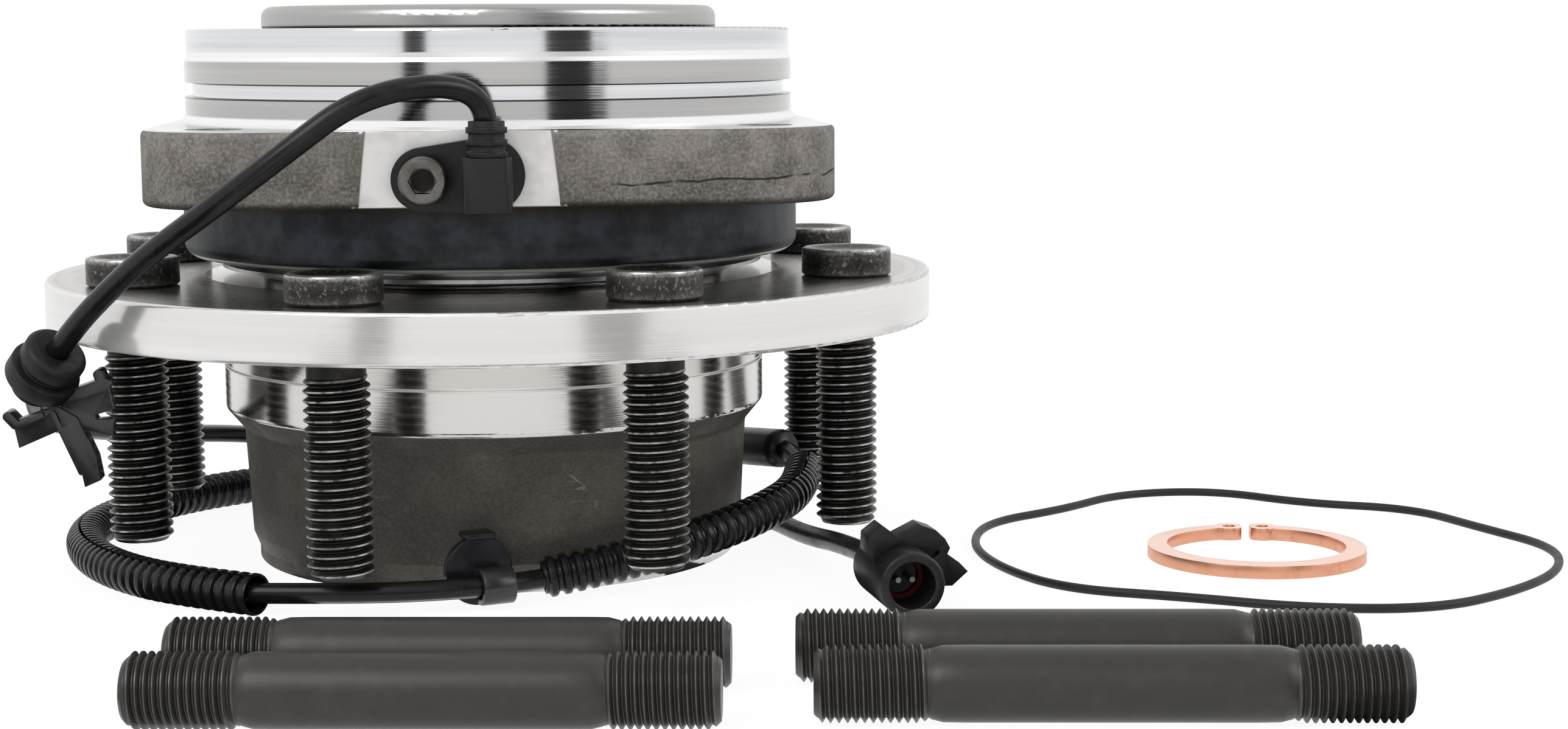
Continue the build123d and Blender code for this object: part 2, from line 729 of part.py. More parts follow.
def grommet_plane():
    """Plane across the lead between its two leads' ends, facing the sensor side."""
    front = Vector(*sensor_lead_route[-1])
    back = Vector(*rear_lead_route[0])
    return along_line(front + (back - front) * 0.5, sensor_lead_route[-2])


def make_grommet():
    """Rubber bush moulded round the lead, waisted where the clip grips it."""
    return grommet_plane() * turned(grommet_outline(0.0, lead_r))


def strip(start, end, thickness):
    """Round-ended strip between two (x, z) points."""
    run_x = end[0] - start[0]
    run_z = end[1] - start[1]
    turn = math.degrees(math.atan2(run_z, run_x))
    slot = SlotCenterToCenter(math.hypot(run_x, run_z), thickness)
    return Pos((start[0] + end[0]) / 2, (start[1] + end[1]) / 2) * Rot(0, 0, turn) * slot


def make_routing_clip():
    """Two hooked and webbed wings, a saddle for the grommet and two springy anchor blades."""
    face = make_face(Polyline(*clip_wide_blade, close=True))
    face += strip(*clip_thin_blade, clip_blade_thick)
    face += strip(*clip_left_rim, clip_rim_thick)
    face += strip(*clip_right_bar, clip_bar_thick)
    face += strip(*clip_left_hook, clip_hook_thick)
    face += strip(*clip_right_hook, clip_hook_thick)
    webs = make_face(Polyline(*clip_left_web, close=True))
    webs += make_face(Polyline(*clip_right_web, close=True))
    plane = Plane((0, clip_y + clip_depth / 2, 0), x_dir=(1, 0, 0), z_dir=(0, -1, 0))
    body = extrude(plane * face, clip_depth) + extrude(plane * webs, clip_depth - clip_web_recess)
    body -= grommet_plane() * turned(grommet_outline(clip_grip_gap, 0.0))
    lead_line = along_line(rear_lead_route[0], rear_lead_route[1])
    return body - lead_line * extrude(Circle(lead_r + clip_grip_gap), grommet_length)


def lead_plane_at_clip():
    """Plane across the front lead at the strap's middle: x points to the hub, y up."""
    end = Vector(*front_lead_route[1])
    run = end - Vector(*front_lead_route[2])
    middle = end - run * ((end.X - strap_x) / run.X)
    return Plane(middle, x_dir=Vector(0, 0, 1).cross(run), z_dir=run)


def make_clip_strap():
    """Strap round the lead, with a flat saddle against the button."""
    outer = lead_r + strap_wall
    section = Circle(outer) + Pos(outer / 2, 0) * Rectangle(outer, strap_saddle_width)
    return lead_plane_at_clip() * extrude(section - Circle(lead_r), strap_width / 2, both=True)


def make_clip_button():
    """Upright round button behind the strap, with a tab on top."""
    back = lead_r + strap_wall
    disc = Rot(0, 90, 0) * Cylinder(button_r, button_thick)
    tab_rise = button_r + tab_height / 2 - tab_sink
    tab = Pos(0, tab_rise, 0) * Box(tab_depth, tab_height, tab_width)
    return lead_plane_at_clip() * Pos(back + button_thick / 2, button_rise, -button_set_back) * (disc + tab)


def plug_plane():
    """Plane at the plug's tail, with its normal towards the mouth."""
    axis = Vector(*plug_face) - Vector(*plug_tail)
    return Plane(Vector(*plug_tail), x_dir=Vector(-axis.Y, axis.X, 0), z_dir=axis)


plug_length = (Vector(*plug_face) - Vector(*plug_tail)).length


def make_plug_housing():
    """Round shroud with a blind cavity and a rear boss."""
    floor = plug_length - plug_cavity_depth
    outline = [
        (0.0, 0.0), (plug_boss_r, 0.0), (plug_boss_r, plug_boss_length),
        (plug_r, plug_boss_length + plug_shoulder), (plug_r, plug_length - plug_mouth_edge),
        (plug_r - plug_mouth_edge, plug_length), (plug_cavity_r, plug_length), (plug_cavity_r, floor),
        (0.0, floor),
    ]
    return plug_plane() * turned(outline)


def make_plug_latch():
    """Pointed lock plate over one side of the shroud, with a slit beside the shroud."""
    start, end = latch_slit
    face = make_face(Polyline(*latch_outline, close=True)) - Circle(plug_r)
    face -= strip(start, end, latch_slit_width)
    return plug_plane() * Pos(0, 0, plug_length - latch_set_back) * extrude(face, latch_thick)


def make_plug_seal():
    floor = plug_length - plug_cavity_depth
    return plug_plane() * ring(plug_cavity_r - plug_seal_wall, plug_cavity_r, floor, plug_seal_length)


def make_plug_pins():
    floor = plug_length - plug_cavity_depth
    pin = Pos(plug_pin_half_gap, 0, floor) * extrude(Circle(plug_pin_r), plug_pin_length)
    return [plug_plane() * Rot(0, 0, turn) * pin for turn in (0, 180)]


# ---- Fitting kit ----
def make_mounting_stud(place, coarse_end):
    """Double-ended stud lying on its side, with a relief beside each thread."""
    half = kit_stud_length / 2
    relief_r = kit_stud_r - kit_stud_relief
    outline = [(0.0, -half), (kit_stud_r - kit_stud_chamfer, -half), (kit_stud_r, -half + kit_stud_chamfer)]
    for end in (-1, 1):
        centre = end * (half - kit_stud_thread)
        low = centre - kit_stud_relief_width / 2
        high = centre + kit_stud_relief_width / 2
        outline += [(kit_stud_r, low), (relief_r, low), (relief_r, high), (kit_stud_r, high)]
    outline += [(kit_stud_r, half - kit_stud_chamfer), (kit_stud_r - kit_stud_chamfer, half), (0.0, half)]
    lying = Rot(0, 0, kit_turn) * Rot(0, 90 * coarse_end, 0) * turned(outline)
    return Pos(*place, kit_stud_r) * lying


def make_pilot_o_ring():
    """Seal for the knuckle pilot's groove, lying slack on the ground."""
    points = [(x, y, o_ring_r + ground_gap) for x, y in o_ring_route]
    radii = corner_radii([points[-1]] + points + [points[0]])
    path = FilletPolyline(*points, radius=radii, close=True)
    print(f"pilot_o_ring: length {path.length:.1f}, radii", [round(value, 1) for value in radii])
    profile = Plane(path @ 0, z_dir=path % 0) * Circle(o_ring_r)
    return sweep(profile, path=path)


def make_snap_ring():
    """External retaining ring, widest opposite its gap, with a drilled lug on each side of the gap."""
    face = Circle(snap_ring_r) - Pos(snap_ring_offset, 0) * Circle(snap_ring_bore_r)
    for side in (-1, 1):
        face += Pos(snap_lug_x, side * snap_lug_spread) * Circle(snap_lug_r)
    face -= Pos(snap_ring_r, 0) * Rectangle(4 * snap_lug_r, snap_ring_gap)
    for side in (-1, 1):
        face -= Pos(snap_lug_x, side * snap_lug_spread) * Circle(snap_lug_hole_r)
    x, y = snap_ring_centre
    return Pos(x, y, 0) * Rot(0, 0, snap_ring_turn) * extrude(face, snap_ring_thick)


def model():
    """All sub-parts by node name."""
    nodes = {
        "hub_spindle": make_spindle(),
        "wheel_flange": make_wheel_flange(),
        "wheel_studs": make_wheel_studs(),
        "cone_outboard": outboard(make_cone(cone_back_length, shoulder_r)),
        "cone_inboard": inboard(make_cone(inboard_back_length, inboard_seat_r)),
        "cone_spacer": make_spacer(),
        "tone_ring": make_tone_ring(),
        "slinger_outboard": make_slinger(shoulder_r, slinger_disc_z, outboard_back_z, slinger_disc_z),
        "slinger_inboard": make_slinger(
            inboard_seat_r, slinger_top_z - slinger_length, slinger_top_z, slinger_top_z - slinger_wall
        ),
        "axle_bush": make_axle_bush(),
        "axle_needles": make_axle_needles(),
        "cage_outboard": outboard(make_cage()),
        "cage_inboard": inboard(make_cage()),
        "rollers_outboard": [outboard(one) for one in make_rollers()],
        "rollers_inboard": [inboard(one) for one in make_rollers()],
        "outer_ring": make_outer_ring(),
        "mount_flange": make_mount_flange(),
        "seal_case_outboard": make_seal_case(ring_bottom_z, 1, outboard_case_depth),
        "seal_case_inboard": make_seal_case(ring_top_z, -1, inboard_case_depth),
        "seal_lip_outboard": make_seal_lip(ring_bottom_z, 1, outboard_case_depth, shoulder_r),
        "seal_lip_inboard": make_seal_lip(ring_top_z, -1, inboard_case_depth, inboard_seat_r),
        "sensor_body": make_sensor_body(),
        "sensor_probe": make_sensor_probe(),
        "sensor_seal": make_sensor_seal(),
        "sensor_bush": make_sensor_bush(),
        "sensor_screw": make_sensor_screw(),
        "sensor_boot": make_sensor_boot(),
        "sensor_lead": cord("sensor_lead", sensor_lead_route, lead_r),
        "lead_grommet": make_grommet(),
        "routing_clip": make_routing_clip(),
        "rear_lead": cord("rear_lead", rear_lead_route, lead_r),
        "splice_sleeve": cord("splice_sleeve", sleeve_route, sleeve_r),
        "sleeve_lead": cord("sleeve_lead", sleeve_lead_route, lead_r),
        "right_conduit": cord("right_conduit", right_conduit_route, conduit_r),
        "front_lead": cord("front_lead", front_lead_route, lead_r),
        "clip_button": make_clip_button(),
        "clip_strap": make_clip_strap(),
        "left_conduit": cord("left_conduit", left_conduit_route, conduit_r),
        "plug_lead": cord("plug_lead", plug_lead_route, lead_r),
        "plug_housing": make_plug_housing(),
        "plug_latch": make_plug_latch(),
        "plug_seal": make_plug_seal(),
        "plug_pins": make_plug_pins(),
        "pilot_o_ring": make_pilot_o_ring(),
        "axle_snap_ring": make_snap_ring(),
    }
    for number, (place, coarse_end) in enumerate(zip(kit_stud_places, kit_stud_ends), 1):
        nodes[f"mounting_stud_{number}"] = make_mounting_stud(place, coarse_end)
    return nodes


def main():
    os.makedirs("parts", exist_ok=True)
    for name, shape in model().items():
        solid = Compound(children=[one for one in shape]) if isinstance(shape, list) else shape
        export_step(solid, f"parts/{name}.step")


if __name__ == "__main__":
    main()
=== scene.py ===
"""Looks for a wheel hub bearing unit, its speed sensor harness and its loose fitting kit.

Lengths are in metres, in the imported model's frame: the origin is on the hub axis at the barrel's end face,
+Z points from the wheel side to the knuckle side and -Y towards the sensor. Zones and routes are in millimetres.
"""

import logging
import math
from contextlib import contextmanager
from dataclasses import dataclass, field
from enum import Enum
from typing import Any, Callable, Iterator, Sequence

import bmesh
import bpy
from mathutils import Matrix, Vector


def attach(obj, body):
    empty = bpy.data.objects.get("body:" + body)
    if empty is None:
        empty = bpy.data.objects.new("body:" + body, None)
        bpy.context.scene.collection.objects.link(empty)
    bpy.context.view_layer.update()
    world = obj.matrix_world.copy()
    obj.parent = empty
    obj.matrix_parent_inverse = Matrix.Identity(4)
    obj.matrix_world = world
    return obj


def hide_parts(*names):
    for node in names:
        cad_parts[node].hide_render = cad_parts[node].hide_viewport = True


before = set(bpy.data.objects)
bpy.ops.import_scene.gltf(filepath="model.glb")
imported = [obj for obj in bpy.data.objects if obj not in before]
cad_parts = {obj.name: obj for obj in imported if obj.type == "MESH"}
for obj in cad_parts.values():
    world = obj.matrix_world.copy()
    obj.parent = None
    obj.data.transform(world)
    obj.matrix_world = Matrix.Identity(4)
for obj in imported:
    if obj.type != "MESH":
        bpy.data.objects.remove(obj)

MM = 0.001
FAR = 200.0
log = logging.getLogger("hub")

Point = tuple[float, float, float]
Colour = tuple[float, float, float]


class Body(Enum):
    """Bodies that new pieces ride on."""

    FIXED = "ring_assembly"
    HUB = "hub"


class Socket(Enum):
    """Kinds of sockets on a node group."""

    NUMBER = "NodeSocketFloat"
    COUNT = "NodeSocketInt"
    MATERIAL = "NodeSocketMaterial"
    GEOMETRY = "NodeSocketGeometry"


# ---------------------------------------------------------------- node trees


def opaque(colour: Any) -> Any:
    """Add full alpha to a plain colour and leave anything else as it is."""
    return (*colour, 1.0) if isinstance(colour, tuple) and len(colour) == 3 else colour


class Nodes:
    """Short hand for building one shader or geometry node tree."""

    def __init__(self, tree: bpy.types.NodeTree) -> None:
        """Keep the node tree that the nodes go into."""
        self.tree = tree

    def feed(self, socket: bpy.types.NodeSocket, source: Any) -> None:
        """Link a socket to an output, or set its own value.

        Args:
            socket: the input to feed.
            source: an output socket, a plain value or None to leave it alone.
        """
        if isinstance(source, bpy.types.NodeSocket):
            self.tree.links.new(source, socket)
        elif source is not None:
            socket.default_value = source

    def add(self, kind: str, sources: dict[Any, Any] | None = None, **settings: Any) -> bpy.types.Node:
        """Add one node and feed it.

        Args:
            kind: the node's Blender type name.
            sources: what its inputs get, by name or number.
            settings: properties to set on it.

        Returns:
            The new node.
        """
        node = self.tree.nodes.new(kind)
        for key, value in settings.items():
            setattr(node, key, value)
        for key, source in (sources or {}).items():
            self.feed(node.inputs[key], source)
        return node

    def math(self, operation: str, *sources: Any, clamp: bool = False) -> bpy.types.NodeSocket:
        """Add a math node.

        Args:
            operation: Blender's name of the operation.
            sources: outputs or numbers, in the node's order.
            clamp: keep the result between 0 and 1.

        Returns:
            The result.
        """
        node = self.add("ShaderNodeMath", dict(enumerate(sources)), operation=operation, use_clamp=clamp)
        return node.outputs[0]

    def linear(self, source: Any, slope: Any, start: Any, clamp: bool = False) -> bpy.types.NodeSocket:
        """Number times a slope, plus a start."""
        return self.math("MULTIPLY_ADD", source, slope, start, clamp=clamp)

    def rest(self, share: Any) -> bpy.types.NodeSocket:
        """What is left of 1."""
        return self.math("SUBTRACT", 1.0, share)

    def per(self, size: Any) -> bpy.types.NodeSocket:
        """One over a size, which is the scale of a texture with grains of that size."""
        return self.math("DIVIDE", 1.0, size)

    def off(self, value: Any, spot: Any) -> bpy.types.NodeSocket:
        """How far a number is from a spot, to either side."""
        return self.math("ABSOLUTE", self.math("SUBTRACT", value, spot))

    def times(self, *factors: Any) -> Any:
        """Multiply numbers.

        Args:
            factors: outputs or numbers.

        Returns:
            The product.
        """
        product = factors[0]
        for factor in factors[1:]:
            product = self.math("MULTIPLY", product, factor)
        return product

    def mix(self, share: Any, first: Any, second: Any) -> bpy.types.NodeSocket:
        """Mix two colours, with a share of the second."""
        sources = {0: share, 6: opaque(first), 7: opaque(second)}
        return self.add("ShaderNodeMix", sources, data_type="RGBA").outputs[2]

    def layers(self, colour: Any, *coats: tuple[Any, Any]) -> Any:
        """Lay colours over each other.

        Args:
            colour: the lowest colour.
            coats: mask and colour of each layer above it, from the lowest up.

        Returns:
            The colour that shows.
        """
        for mask, coat in coats:
            colour = self.mix(mask, colour, coat)
        return colour

    def blend(self, share: Any, first: Any, second: Any) -> bpy.types.NodeSocket:
        """Mix two numbers, with a share of the second."""
        return self.add("ShaderNodeMix", {0: share, 2: first, 3: second}, data_type="FLOAT").outputs[0]

    def choose(self, share: Any, first: Any, second: Any) -> bpy.types.NodeSocket:
        """Mix two shaders, with a share of the second."""
        return self.add("ShaderNodeMixShader", {0: share, 1: first, 2: second}).outputs[0]

    def step(self, source: Any, low: Any, high: Any) -> bpy.types.NodeSocket:
        """Smooth step of a number, from 0 at low to 1 at high."""
        sources = {0: source, 1: low, 2: high}
        return self.add("ShaderNodeMapRange", sources, interpolation_type="SMOOTHSTEP").outputs[0]

    def window(self, value: Any, low: Any, high: Any, soft: Any) -> bpy.types.NodeSocket:
        """Mask of a range, with soft edges inside its limits.

        Args:
            value: the number to test.
            low: lower limit.
            high: upper limit.
            soft: width of each edge.

        Returns:
            The mask.
        """
        rise = self.step(value, low, self.math("ADD", low, soft))
        fall = self.step(value, self.math("SUBTRACT", high, soft), high)
        return self.times(rise, self.rest(fall))

    def place(self) -> bpy.types.NodeSocket:
        """Object coordinates."""
        return self.add("ShaderNodeTexCoord").outputs["Object"]

    def axes(self, place: Any = None) -> Any:
        """The three parts of a place, or of the object coordinates."""
        return self.add("ShaderNodeSeparateXYZ", {0: place or self.place()}).outputs

    def radius(self) -> bpy.types.NodeSocket:
        """Distance from the hub axis."""
        flat = self.add("ShaderNodeVectorMath", {0: self.place(), 1: (1.0, 1.0, 0.0)}, operation="MULTIPLY")
        return self.add("ShaderNodeVectorMath", {0: flat.outputs[0]}, operation="LENGTH").outputs["Value"]

    def noise(self, scale: Any, detail: float, rough: float = 0.55, place: Any = None) -> bpy.types.NodeSocket:
        """Add a noise texture.

        Args:
            scale: how fine it is, in grains to a metre.
            detail: octaves.
            rough: share that each finer octave keeps.
            place: where the noise is read, if not at the object coordinates.

        Returns:
            The noise between 0 and 1.
        """
        sources = {"Vector": place or self.place(), "Scale": scale, "Detail": detail, "Roughness": rough}
        return self.add("ShaderNodeTexNoise", sources).outputs[0]


class Group(Nodes):
    """Builder of one node group, with its input sockets by name."""

    def __init__(
        self, name: str, inputs: dict[str, Any], outputs: Sequence[str], kind: str = "ShaderNodeTree",
    ) -> None:
        """Start the group with its sockets.

        Args:
            name: the group's name.
            inputs: input names with their defaults, or with the kind of socket where there is no default.
            outputs: output names; Geometry holds geometry and the others a number.
            kind: Blender's name of the tree's type.
        """
        super().__init__(bpy.data.node_groups.new(name, kind))
        new_socket = self.tree.interface.new_socket
        for label in outputs:
            held = Socket.GEOMETRY if label == "Geometry" else Socket.NUMBER
            new_socket(name=label, in_out="OUTPUT", socket_type=held.value)
        for label, value in inputs.items():
            held = value if isinstance(value, Socket) else Socket.COUNT if isinstance(value, int) else Socket.NUMBER
            socket = new_socket(name=label, in_out="INPUT", socket_type=held.value)
            if held is not value:
                socket.default_value = value
        entry = self.add("NodeGroupInput")
        self.given = {label: entry.outputs[label] for label in inputs}

    def close(self, *results: Any) -> bpy.types.NodeTree:
        """Feed the group's outputs in order and return its tree."""
        self.add("NodeGroupOutput", dict(enumerate(results)))
        return self.tree

    def close_geometry(self, geometry: Any) -> bpy.types.NodeTree:
        """End a geometry group in Realize Instances and Set Material.

        Args:
            geometry: what the group has made.

        Returns:
            The group's tree.
        """
        real = self.add("GeometryNodeRealizeInstances", {0: geometry})
        sources = {"Geometry": real.outputs[0], "Material": self.given["Material"]}
        return self.close(self.add("GeometryNodeSetMaterial", sources).outputs[0])


class SharedGroups:
    """Shader node groups that more than one finish uses, each built once."""

    def __init__(self) -> None:
        """Build every group."""
        self.axial_zone = self._axial_zone()
        self.radial_zone = self._radial_zone()
        self.turned_lines = self._turned_lines()
        self.forged_grain = self._forged_grain()
        self.scuffs = self._scuffs()
        self.moulded_skin = self._moulded_skin()
        self.crest_wear = self._crest_wear()

    @staticmethod
    def _axial_zone() -> bpy.types.NodeTree:
        """Mask of a height range along the hub axis."""
        group = Group("axial_zone", {"Bottom": 0.0, "Top": 0.01, "Softness": 0.0003}, ["Mask"])
        return group.close(group.window(group.axes()[2], *group.given.values()))

    @staticmethod
    def _radial_zone() -> bpy.types.NodeTree:
        """Mask of a radius range about the hub axis."""
        group = Group("radial_zone", {"Inner": 0.0, "Outer": 0.1, "Softness": 0.0003}, ["Mask"])
        return group.close(group.window(group.radius(), *group.given.values()))

    @staticmethod
    def _turned_lines() -> bpy.types.NodeTree:
        """Fine tool lines round the hub axis, with slow streaks between them.

        Returns:
            The group's tree.
        """
        drift_round = 0.0006
        group = Group("turned_lines", {"Line Pitch": 0.0002, "Streak Width": 0.002}, ["Height", "Streak"])
        across, depth, height = group.axes()
        drift = group.times(group.math("ARCTAN2", depth, across), drift_round)
        place = group.add("ShaderNodeCombineXYZ", {0: group.radius(), 1: height, 2: drift}).outputs[0]
        fine = group.noise(group.per(group.given["Line Pitch"]), 1.0, place=place)
        slow = group.noise(group.per(group.given["Streak Width"]), 3.0, place=place)
        return group.close(fine, slow)

    @staticmethod
    def _forged_grain() -> bpy.types.NodeTree:
        """Scale and pits of a forged or cast skin.

        Returns:
            The group's tree.
        """
        pit_scale, pit_height = 0.8, 0.5
        group = Group("forged_grain", {"Grain Size": 0.0008, "Patch Size": 0.012}, ["Speckle", "Patch", "Height"])
        size = group.given["Grain Size"]
        fine = group.noise(group.per(size), 4.0, 0.7)
        patch = group.noise(group.per(group.given["Patch Size"]), 3.0, 0.6)
        sources = {"Vector": group.place(), "Scale": group.math("DIVIDE", pit_scale, size)}
        pits = group.add("ShaderNodeTexVoronoi", sources, feature="SMOOTH_F1")
        height = group.linear(pits.outputs["Distance"], pit_height, fine)
        return group.close(group.step(fine, 0.38, 0.68), group.step(patch, 0.35, 0.7), height)

    @staticmethod
    def _scuffs() -> bpy.types.NodeTree:
        """Sparse thin scratches in two directions.

        Returns:
            The group's tree.
        """
        cell_scale, line_width = 0.3, 0.012
        group = Group("scuffs", {"Spacing": 0.012, "Amount": 0.5}, ["Mask"])
        spacing = group.given["Spacing"]
        lines = []
        for turn, stretch in ((0.5, 9.0), (-0.9, 7.0)):
            aim = group.add("ShaderNodeMapping", {
                0: group.place(), "Rotation": (turn, turn * 0.7, turn), "Scale": (1.0, 1.0, stretch),
            })
            sources = {"Vector": aim.outputs[0], "Scale": group.math("DIVIDE", cell_scale, spacing)}
            cells = group.add("ShaderNodeTexVoronoi", sources, feature="DISTANCE_TO_EDGE")
            thin = group.rest(group.step(cells.outputs["Distance"], 0.0, line_width))
            gate = group.step(group.noise(group.per(spacing), 2.0), 0.56, 0.66)
            lines.append(group.times(thin, gate))
        return group.close(group.times(group.math("MAXIMUM", *lines), group.given["Amount"]))

    @staticmethod
    def _moulded_skin() -> bpy.types.NodeTree:
        """Fine grain and handling marks of moulded plastic and rubber.

        Returns:
            The group's tree.
        """
        group = Group("moulded_skin", {"Grain Size": 0.0004, "Mark Size": 0.006}, ["Grain", "Marks"])
        grain = group.noise(group.per(group.given["Grain Size"]), 2.0)
        marks = group.noise(group.per(group.given["Mark Size"]), 5.0, 0.65)
        return group.close(grain, group.step(marks, 0.45, 0.75))

    @staticmethod
    def _crest_wear() -> bpy.types.NodeTree:
        """Worn crests and edges, from the mesh's own wear value.

        Returns:
            The group's tree.
        """
        group = Group("crest_wear", {"Start": 0.55, "End": 0.95, "Patch Size": 0.004}, ["Mask"])
        wear = group.add("ShaderNodeAttribute", attribute_name="wear").outputs["Fac"]
        crest = group.step(wear, group.given["Start"], group.given["End"])
        patch = group.noise(group.per(group.given["Patch Size"]), 4.0, 0.7)
        return group.close(group.times(crest, group.step(patch, 0.3, 0.6)))


# ---------------------------------------------------------------- finishes


@dataclass(frozen=True)
class Zone:
    """Range of heights along the hub axis and of distances from it, with soft edges, in millimetres."""

    bottom: float
    top: float = FAR
    edge: float = 0.1
    inner: float = 0.0
    outer: float = FAR
    round_edge: float = 0.1


@dataclass(frozen=True)
class Ramp:
    """Smooth change of a share between two positions, in millimetres."""

    low: float
    high: float
    share: float = 1.0


class Coat(Nodes):
    """Builder of one material, with the shared groups at hand."""

    groups: SharedGroups

    def __init__(self, name: str) -> None:
        """Start the material.

        Args:
            name: the material's name.
        """
        self.material = bpy.data.materials.new(name)
        self.material.use_nodes = True
        super().__init__(self.material.node_tree)
        self.shader = self.tree.nodes["Principled BSDF"]

    def shade(self, sources: dict[str, Any]) -> None:
        """Feed the shader's inputs by name."""
        for name, source in sources.items():
            self.feed(self.shader.inputs[name], opaque(source))

    def group(self, tree: bpy.types.NodeTree, *values: Any) -> Any:
        """Place a shared group with its own input values, and give its outputs."""
        return self.add("ShaderNodeGroup", dict(enumerate(values)), node_tree=tree).outputs

    def zone(self, zone: Zone, bottom: Any = None) -> Any:
        """Mask of a zone.

        Args:
            zone: the zone.
            bottom: its lower end in metres, where that varies over the surface.

        Returns:
            The mask.
        """
        low = zone.bottom * MM if bottom is None else bottom
        mask = self.group(self.groups.axial_zone, low, zone.top * MM, zone.edge * MM)[0]
        if zone.inner > 0.0 or zone.outer < FAR:
            sizes = (zone.inner * MM, zone.outer * MM, zone.round_edge * MM)
            mask = self.times(mask, self.group(self.groups.radial_zone, *sizes)[0])
        return mask

    def rising(self, value: Any, ramp: Ramp) -> Any:
        """Rise from 0 to the ramp's share, for a position in metres."""
        return self.times(self.step(value, ramp.low * MM, ramp.high * MM), ramp.share)

    def falling(self, value: Any, ramp: Ramp) -> Any:
        """Fall from the ramp's share to 0, for a position in metres."""
        return self.times(self.rest(self.step(value, ramp.low * MM, ramp.high * MM)), ramp.share)

    def bump(self, height: Any, depth: float, strength: float = 1.0, below: Any = None) -> bpy.types.NodeSocket:
        """Turn a height into a normal.

        Args:
            height: the height, from 0 to 1.
            depth: how deep 1 is.
            strength: how much of it shows.
            below: a normal to build on.

        Returns:
            The normal.
        """
        sources = {"Strength": strength, "Distance": depth, "Height": height, "Normal": below}
        return self.add("ShaderNodeBump", sources).outputs[0]


class Finish:
    """One material, built when it is first asked for."""

    name: str
    made: dict[str, bpy.types.Material] = {}

    def material(self) -> bpy.types.Material:
        """The finish's material.

        Returns:
            The material, the same one each time.
        """
        if self.name not in Finish.made:
            coat = Coat(self.name)
            self.dress(coat)
            Finish.made[self.name] = coat.material
        return Finish.made[self.name]

    def dress(self, coat: Coat) -> None:
        """Feed the shader of a coat; each finish does this in its own way."""
        raise NotImplementedError


@dataclass(frozen=True)
class TurnedSteel(Finish):
    """What bright turned and ground steel have in common: tool lines round the hub axis."""

    tint: Colour = (0.66, 0.65, 0.635)
    shade: Colour = (0.52, 0.505, 0.485)
    roughness: float = 0.13
    anisotropy: float = 0.7
    line_pitch: float = 0.22 * MM
    streak_width: float = 2.4 * MM
    line_depth: float = 0.004 * MM
    line_swing: float = 0.1
    grain_size: float = 0.7 * MM
    patch_size: float = 14.0 * MM
    grain_depth: float = 0.12 * MM
    grain_strength: float = 0.6

    def textures(self, coat: Coat) -> tuple[Any, Any, Any]:
        """Place the tool lines and the skin's grain.

        Args:
            coat: builder of the material.

        Returns:
            The lines' outputs, the grain's outputs and the mask of the lines' brighter streaks.
        """
        lines = coat.group(coat.groups.turned_lines, self.line_pitch, self.streak_width)
        grain = coat.group(coat.groups.forged_grain, self.grain_size, self.patch_size)
        return lines, grain, coat.step(lines["Streak"], 0.35, 0.7)

    def gloss(self, coat: Coat, lines: Any) -> Any:
        """Roughness of the turned faces, which the lines swing about its mean."""
        return coat.linear(lines["Height"], self.line_swing, self.roughness - self.line_swing / 2)

    def cut(self, coat: Coat, lines: Any, relief: Any) -> None:
        """Cut the lines and the grain into the normal, and draw the gloss out round the axis.

        Args:
            coat: builder of the material.
            lines: the lines' outputs.
            relief: height of the skin's grain where it shows.
        """
        fine = coat.bump(lines["Height"], self.line_depth)
        coat.shade({
            "Normal": coat.bump(relief, self.grain_depth, self.grain_strength, fine),
            "Anisotropic": self.anisotropy,
            "Tangent": coat.add("ShaderNodeTangent", direction_type="RADIAL", axis="Z").outputs[0],
        })


